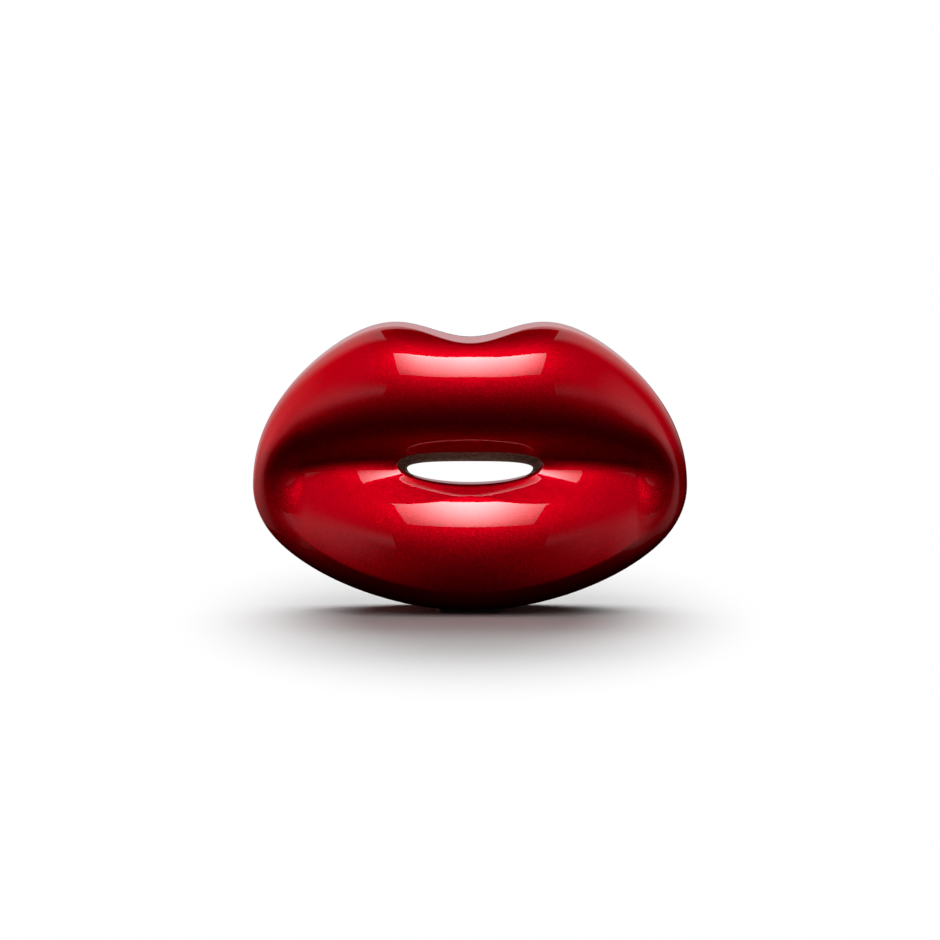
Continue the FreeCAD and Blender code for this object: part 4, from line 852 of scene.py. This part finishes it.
for node, text in KEYS.items():
    x, z, front = spot_of(node)
    cap = [(STEM, STEM, STEM, front), (STEM, STEM, STEM, front + STEM_LONG),
           (*FLANGE, front + STEM_LONG), (*FLANGE, BACK - FLANGE_TOP)]
    cap += rounded(half_x=5.2, half_z=3.5, corner=1.2, low=BACK - FLANGE_TOP, high=BACK + CAP_HIGH,
                   edge=0.5, draft=0.12)
    moulded(node + "_cap", BODY_OF[node], "ivory_plastic", [node], [(x, z, cap, dished)])
    printed(node + "_print", text, node, x, z)

# the knobs have a plain block and three ribs across it
KNOB_HIGH, RIB_LOW, RIB_HIGH, RIB_PITCH = 1.25, 1.1, 1.6, 1.3
for node in ("ringer_knob", "mode_knob"):
    x, z, front = spot_of(node)
    block = rounded(half_x=1.5, half_z=2.0, corner=0.3, low=front, high=BACK + KNOB_HIGH, edge=0.25)
    rib = rounded(half_x=1.3, half_z=0.26, corner=0.2, low=BACK + RIB_LOW, high=BACK + RIB_HIGH,
                  edge=0.2, draft=0.04)
    forms = [(x, z, block)] + [(x, z + shift * RIB_PITCH, rib) for shift in (-1, 0, 1)]
    moulded(node + "_ribbed", BODY_OF[node], "black_gloss", [node], forms)


# cover screws: one cross-recessed screw on the six seats, each turned by its own amount

HEAD_FORM = ((1.0, 0.0), (1.0, 0.55), (0.93, 0.82), (0.74, 1.0))  # shares of radius and height


def screw_mesh(head=2.8, high=2.2, shank=1.45, long=15.0, arm=1.6, slot=0.4, deep=1.1, sunk_in=0.4,
               taper=2.5, point=0.25, turns=16):
    """a domed head with a cross recess, and its shank"""
    shape = bmesh.new()

    def ring(radius, y, count=turns):
        return [shape.verts.new((radius * math.cos(2 * math.pi * i / count) * MM, y * MM,
                                 radius * math.sin(2 * math.pi * i / count) * MM)) for i in range(count)]

    def skin(loops):
        for low, up in zip(loops, loops[1:]):
            for i in range(len(low)):
                j = (i + 1) % len(low)
                shape.faces.new((low[i], low[j], up[j], up[i]))

    rings = [ring(head * wide, high * up) for wide, up in HEAD_FORM]
    skin(rings)
    shape.faces.new(rings[0])
    corners = []
    for q in range(4):
        for px, pz in ((arm, slot), (slot, slot), (slot, arm)):
            for i in range(q):
                px, pz = -pz, px
            corners.append((px, pz))
    brim = [shape.verts.new((px * MM, high * MM, pz * MM)) for px, pz in corners]
    sunk = [shape.verts.new((px * MM, (high - deep) * MM, pz * MM)) for px, pz in corners]
    skin([brim, sunk])
    shape.faces.new(sunk)
    top = rings[-1]
    for q in range(4):
        k = [top[(4 * q + i) % turns] for i in range(5)]
        end, inner, next_end = brim[3 * q:3 * q + 3]
        before = brim[3 * q - 1]
        for face in ((before, k[0], end), (k[0], k[1], end), (k[1], k[2], inner, end),
                     (k[2], k[3], next_end, inner), (k[3], k[4], next_end)):
            shape.faces.new(face)
    stem = [ring(shank, sunk_in, 8), ring(shank, taper - long, 8), ring(point, -long, 8)]
    skin(stem)
    shape.faces.new(stem[0])
    shape.faces.new(stem[-1])
    mesh = bpy.data.meshes.new("cross_screw")
    shape.to_mesh(mesh)
    shape.free()
    return mesh


def screw_row():
    """the pattern screw on each seat, with a turn of its own"""
    made = Tree("screw_row", {"Geometry": "Geometry", "Screw": "Object", "Most Turn": math.pi / 2,
                              "Material": "Material"})
    screw = made.new("GeometryNodeObjectInfo")
    made.link(made.entry.outputs["Screw"], screw.inputs["Object"])
    turn = made.new("FunctionNodeRandomValue", data_type="FLOAT")
    made.link(made.entry.outputs["Most Turn"], turn.inputs[3])
    turn.inputs["Seed"].default_value = 4
    spin = made.new("ShaderNodeCombineXYZ")
    made.link(turn.outputs[1], spin.inputs["Y"])
    row = made.new("GeometryNodeInstanceOnPoints")
    made.link(made.entry.outputs["Geometry"], row.inputs["Points"])
    made.link(screw.outputs["Geometry"], row.inputs["Instance"])
    made.link(spin.outputs[0], row.inputs["Rotation"])
    return made.finish(row.outputs[0])


SCREW_SEAT = 20.2
pattern = bpy.data.objects.new("cross_screw", screw_mesh())
bpy.context.scene.collection.objects.link(pattern)
seats = [(side * x * MM, SCREW_SEAT * MM, z * MM) for x, z in ((92, 64.5), (52, 119.5), (48, 19))
         for side in (-1, 1)]
grown("cover_screws_cross", screw_row(), "phone", "steel", ["cover_screws"], seats, Screw=pattern)
bpy.data.objects.remove(pattern)


# sole: a rubber pad with ribs across, round the hook's plunger

SOLE_TURNS = 160


def sole_tread():
    """a pad with rounded corners; grooves part the ribs and run out before its edge and its hole"""
    made = Tree("sole_tread", {"Half Length": 16.0, "Half Depth": 11.0, "Thick": 3.0, "Hole": 4.6,
                               "Hole Back": 6.0, "Rib Pitch": 3.2, "Rib Half": 0.26, "Rib Side": 0.08,
                               "Groove": 0.7, "Groove Ends": 9.0, "Edge": 0.5, "Material": "Material"})
    size = made.size

    def outline(turn, inset):
        c, s = turn.cos(), turn.sin()
        big = (c.squared().squared().squared() + s.squared().squared().squared()) ** (-1.0 / 8.0)
        return (size("Half Length") - inset) * c * big, (size("Half Depth") - inset) * s * big

    def hole(turn):
        return size("Hole") * turn.cos(), size("Hole") * turn.sin() + size("Hole Back")

    def tread(turn, way):
        (xo, yo), (xi, yi) = outline(turn, size("Edge")), hole(turn)
        x, y = xo + (xi - xo) * way, yo + (yi - yo) * way
        wave = ((x / size("Rib Pitch")).step("FRACT") - 0.5).size()
        sunk = eased((wave - size("Rib Half")) / size("Rib Side"))
        ends = eased(way * size("Groove Ends")) * eased((1.0 - way) * size("Groove Ends"))
        return made.point(x, y, size("Groove") * sunk * ends)

    def edge(turn, way):
        angle = way * (math.pi / 2)
        x, y = outline(turn, size("Edge") * (1.0 - angle.cos()))
        return made.point(x, y, size("Edge") * (1.0 - angle.sin()))

    def wall(turn, way):
        x, y = outline(turn, 0.0)
        return made.point(x, y, size("Thick") + (size("Edge") - size("Thick")) * way)

    def top(turn, way):
        (xo, yo), (xi, yi) = outline(turn, 0.0), hole(turn)
        return made.point(xi + (xo - xi) * way, yi + (yo - yi) * way, size("Thick"))

    def bore(turn, way):
        x, y = hole(turn)
        return made.point(x, y, size("Thick") * way)

    rows = ((tread, 44), (edge, 4), (wall, 2), (top, 1), (bore, 2))
    sheets = [made.strip(SOLE_TURNS, count, rule) for rule, count in rows]
    return made.finish(made.close(sheets, smooth=False))


grown("sole_pad_ribbed", sole_tread(), "phone", "black_rubber", ["sole_pad"])


# stage, in metres: white floor, softbox, graded cards at both sides and the rear, and dark sheets seen
# only in the gloss, which paint dark reflections

MID_HEIGHT = 0.07  # of the lips
BLUE_SHARE = 0.1  # blue in the staged red


def flat(name, colour):
    """a staged surface without gloss"""
    made = bpy.data.materials.new(name)
    made.use_nodes = True
    shader = made.node_tree.nodes["Principled BSDF"]
    shader.inputs["Base Color"].default_value = (*colour, 1.0)
    shader.inputs["Roughness"].default_value = 0.95
    shader.inputs["Specular IOR Level"].default_value = 0.0
    return made


def glow_of(name, rule):
    """a staged light surface whose white and red light follow a rule of its place"""
    material = bpy.data.materials.new(name)
    material.use_nodes = True
    made = Nodes(material.node_tree)
    made.tree.nodes.remove(made.tree.nodes["Principled BSDF"])
    white, red = rule(*made.spot())
    colour = made.new("ShaderNodeCombineColor")
    for slot, amount in zip(colour.inputs, (white + red, white, white + red * BLUE_SHARE)):
        made.link(amount, slot)
    light = made.new("ShaderNodeEmission")
    made.link(colour.outputs[0], light.inputs["Color"])
    made.link(light.outputs[0], made.tree.nodes["Material Output"].inputs["Surface"])
    return material


def side_glow(x, y, z):
    """white and red light of the side cards, in metres from the middle of the lips"""
    up = z - MID_HEIGHT
    radius = (y.squared() + up.squared()).root()
    right = x.over(0.0)
    # a white pool beside the lips, further forward on the right and cut off before the rear there
    ahead = ((y + right * 0.25).squared() + up.squared()).root()
    pool = (1.0 - ahead / 0.5).at_least(0.0) ** 1.4 * 0.8
    pool = pool * (1.0 - right * eased((y + 0.2) / 0.12))
    # a dim band towards the front, half as bright on the right
    band = bell((up - 0.1) / 0.16) * eased((y + 0.2) / -0.3) * (0.33 - right * 0.15)
    near = pool + band
    # white towards the rear, on the right only higher up
    rear = eased((y + up * 0.3 - 0.05) / 0.42)
    rear = rear * choose(right, eased((up + 0.05) / 0.3), x * 0.0 + 1.0)
    # red above, fading to the rear and far off
    rise = up / (radius.squared() + 0.01).root()
    red = eased((rise + 0.5) / 1.15) * (0.97 - right * 0.28)
    red = red * (1.0 - eased((y + 0.05) / 0.5)) * (1.0 - eased((radius - 0.8) / 0.7))
    return near + (1.0 - near) * rear, red * 0.95


def rear_glow(x, y, z):
    """a dim, faintly red rear, dark on the right"""
    left = 1.0 - eased((x - 0.3) / 0.5)
    return left * 0.46, left * 0.18


FLOOR_FADE = (0.09, 0.27)  # from where to where the floor turns plain white, in metres
FLOOR_NARROW = 1.8  # how much sooner it does so to the sides than to front and rear


def white_far(material):
    """the floor keeps its shadow near the object and is plain white further off"""
    made = Nodes(material.node_tree)
    x, y = made.spot()[:2]
    away = ((x * FLOOR_NARROW).squared() + y.squared()).root()
    far = eased((away - FLOOR_FADE[0]) / (FLOOR_FADE[1] - FLOOR_FADE[0]))
    seen = Term(made.tree, made.new("ShaderNodeLightPath").outputs["Is Camera Ray"])
    plain = made.new("ShaderNodeEmission")
    made.blended(far * seen, made.tree.nodes["Principled BSDF"], plain, "Material Output")
    return material


def board(name, corners, material, mirrored_only=True):
    """a flat staged sheet; most are there only to be mirrored in the gloss"""
    mesh = bpy.data.meshes.new(name)
    mesh.from_pydata(corners, [], [(0, 1, 2, 3)])
    mesh.materials.append(material)
    made = bpy.data.objects.new(name, mesh)
    bpy.context.scene.collection.objects.link(made)
    if mirrored_only:
        made.visible_camera = False
        made.visible_diffuse = False
        made.visible_transmission = False
        made.visible_shadow = False
    return made


def across_x(x, y, z):
    """corners of a sheet that stands across x"""
    return [(x, y[0], z[0]), (x, y[1], z[0]), (x, y[1], z[1]), (x, y[0], z[1])]


def across_y(y, x, z):
    """corners of a sheet that stands across y"""
    return [(x[0], y, z[0]), (x[1], y, z[0]), (x[1], y, z[1]), (x[0], y, z[1])]


def across_z(z, x, y):
    """corners of a level sheet"""
    return [(x[0], y[0], z), (x[1], y[0], z), (x[1], y[1], z), (x[0], y[1], z)]


WHITE_FLOOR = white_far(flat("white_floor", (0.9, 0.9, 0.9)))
floor = board("floor", across_z(0.0, (-6, 6), (-6, 6)), WHITE_FLOOR, False)
# the floor is kept out of the gloss, so the dark sheet under it paints a dark reflection where the white
# floor would show
floor.visible_glossy = False
PAINTED_DARK_REFLECTION = flat("painted_dark_reflection", (0.001, 0.001, 0.001))
# dark sheets and side cards make a box round the object; the dark sheets are seen only in the gloss,
# where they paint a dark reflection in front, above and below
HALF_WIDE, LOW, HIGH, FRONT = 0.6, -0.3, 2.0, -1.5
board("drape_front", across_y(FRONT, (-HALF_WIDE, HALF_WIDE), (LOW, HIGH)), PAINTED_DARK_REFLECTION)
board("drape_top", across_z(HIGH, (-HALF_WIDE, HALF_WIDE), (FRONT, 1.3)), PAINTED_DARK_REFLECTION)
board("drape_floor", across_z(LOW, (-HALF_WIDE, HALF_WIDE), (FRONT, 2.4)), PAINTED_DARK_REFLECTION)
board("rear_card", across_y(1.6, (-2.0, 3.0), (-0.5, 0.42)), glow_of("rear_glow", rear_glow))
SIDE_GLOW = glow_of("side_glow", side_glow)
for side in (-1, 1):
    board("side_card", across_x(side * HALF_WIDE, (FRONT, 0.8), (-0.9, HIGH)), SIDE_GLOW)


def softbox(name, size, place, aim, power):
    """a rectangular light that the camera doesn't see"""
    lamp = bpy.data.lights.new(name, "AREA")
    lamp.shape = "RECTANGLE"
    lamp.size, lamp.size_y = size
    lamp.energy = power
    made = bpy.data.objects.new(name, lamp)
    made.location = place
    made.rotation_euler = (Vector(aim) - Vector(place)).to_track_quat("-Z", "Y").to_euler()
    made.visible_camera = False
    bpy.context.scene.collection.objects.link(made)
    return made


# how wide the softbox's bright middle is, as a share of its length, and the least light at its ends
END_SPREAD, END_LEAST = 0.32, 0.12


def graded(lamp, low, high):
    """a softbox that is brighter towards one edge and dims towards both ends"""
    lamp.use_nodes = True
    made = Nodes(lamp.node_tree)
    along, rise = made.parts(made.new("ShaderNodeNewGeometry").outputs["Parametric"])[:2]
    ends = bell((along - 0.5) / END_SPREAD) * (1.0 - END_LEAST) + END_LEAST
    made.link((low + rise * (high - low)) * ends, made.tree.nodes["Emission"].inputs["Strength"])


def only(light, name, inside):
    """limits a light to the floor, or keeps it off the floor"""
    group = bpy.data.collections.new(name)
    group.objects.link(floor)
    group.collection_objects[0].light_linking.link_state = "INCLUDE" if inside else "EXCLUDE"
    light.light_linking.receiver_collection = group


def at_slope(distance, degrees):
    """the way to the front, of a length and at an angle above the level"""
    slope = math.radians(degrees)
    return distance * Vector((0, -math.cos(slope), math.sin(slope)))


MIDDLE = Vector((0.0, -0.033, 0.09))
SOFTBOX_AWAY, SOFTBOX_SLOPE = 0.75, 38
softbox_place = MIDDLE + at_slope(SOFTBOX_AWAY, SOFTBOX_SLOPE)
front_light = softbox("softbox", (0.48, 0.37), softbox_place, MIDDLE, 6.0)
graded(front_light.data, 0.3, 1.7)
back_light = softbox("back_light", (1.6, 1.0), (0, 0.9, 0.75), (0, 0.0, 0.05), 5.0)
back_light.visible_glossy = False

# the floor has lights of its own, from above and behind, and keeps its soft shadow under them
FLOOR_LIGHT_HEIGHT = 1.0
FLOOR_LIGHTS = (
    ("floor_far", (2.8, 0.5), 1.0, 24.0),
    ("floor_mid", (2.8, 0.3), 0.35, 5.8),
    ("floor_near", (0.7, 0.2), -0.2, 0.9),
    ("floor_front", (2.0, 0.4), -0.7, 1.5),
)
for name, size, y, power in FLOOR_LIGHTS:
    light = softbox(name, size, (0, y, FLOOR_LIGHT_HEIGHT), (0, y, 0), power)
    light.visible_glossy = False
    only(light, name, True)
only(front_light, "softbox_off_floor", False)
only(back_light, "back_off_floor", False)

# the room is white to the eye and in the gloss, and lights the object only faintly
ROOM_LIGHT = 0.06
world = bpy.data.worlds.new("studio")
bpy.context.scene.world = world
world.use_nodes = True
room = Nodes(world.node_tree)
dim = room.tree.nodes["Background"]
dim.inputs["Strength"].default_value = ROOM_LIGHT
white = room.new("ShaderNodeBackground")
for shader in (dim, white):
    shader.inputs["Color"].default_value = (1, 1, 1, 1)
ray = room.new("ShaderNodeLightPath")
seen = Term(room.tree, ray.outputs["Is Camera Ray"])
for kind in ("Is Glossy Ray", "Is Transmission Ray"):
    seen = seen.at_least(Term(room.tree, ray.outputs[kind]))
room.blended(seen, dim, white, "World Output")

# camera: a little above the middle of the lips, straight on
AIM = Vector((0.0, -0.003, 0.0702))
DISTANCE, SLOPE, SENSOR = 1.6, 6, 36.0
SEEN_WIDTH = 0.4646  # width of the picture at the lips, in metres
camera = bpy.data.objects.new("camera", bpy.data.cameras.new("camera"))
bpy.context.scene.collection.objects.link(camera)
camera.location = AIM + at_slope(DISTANCE, SLOPE)
camera.rotation_euler = (AIM - camera.location).to_track_quat("-Z", "Y").to_euler()
camera.data.sensor_width = SENSOR
camera.data.lens = SENSOR * DISTANCE / SEEN_WIDTH
bpy.context.scene.camera = camera
bpy.context.scene.view_settings.view_transform = "Standard"
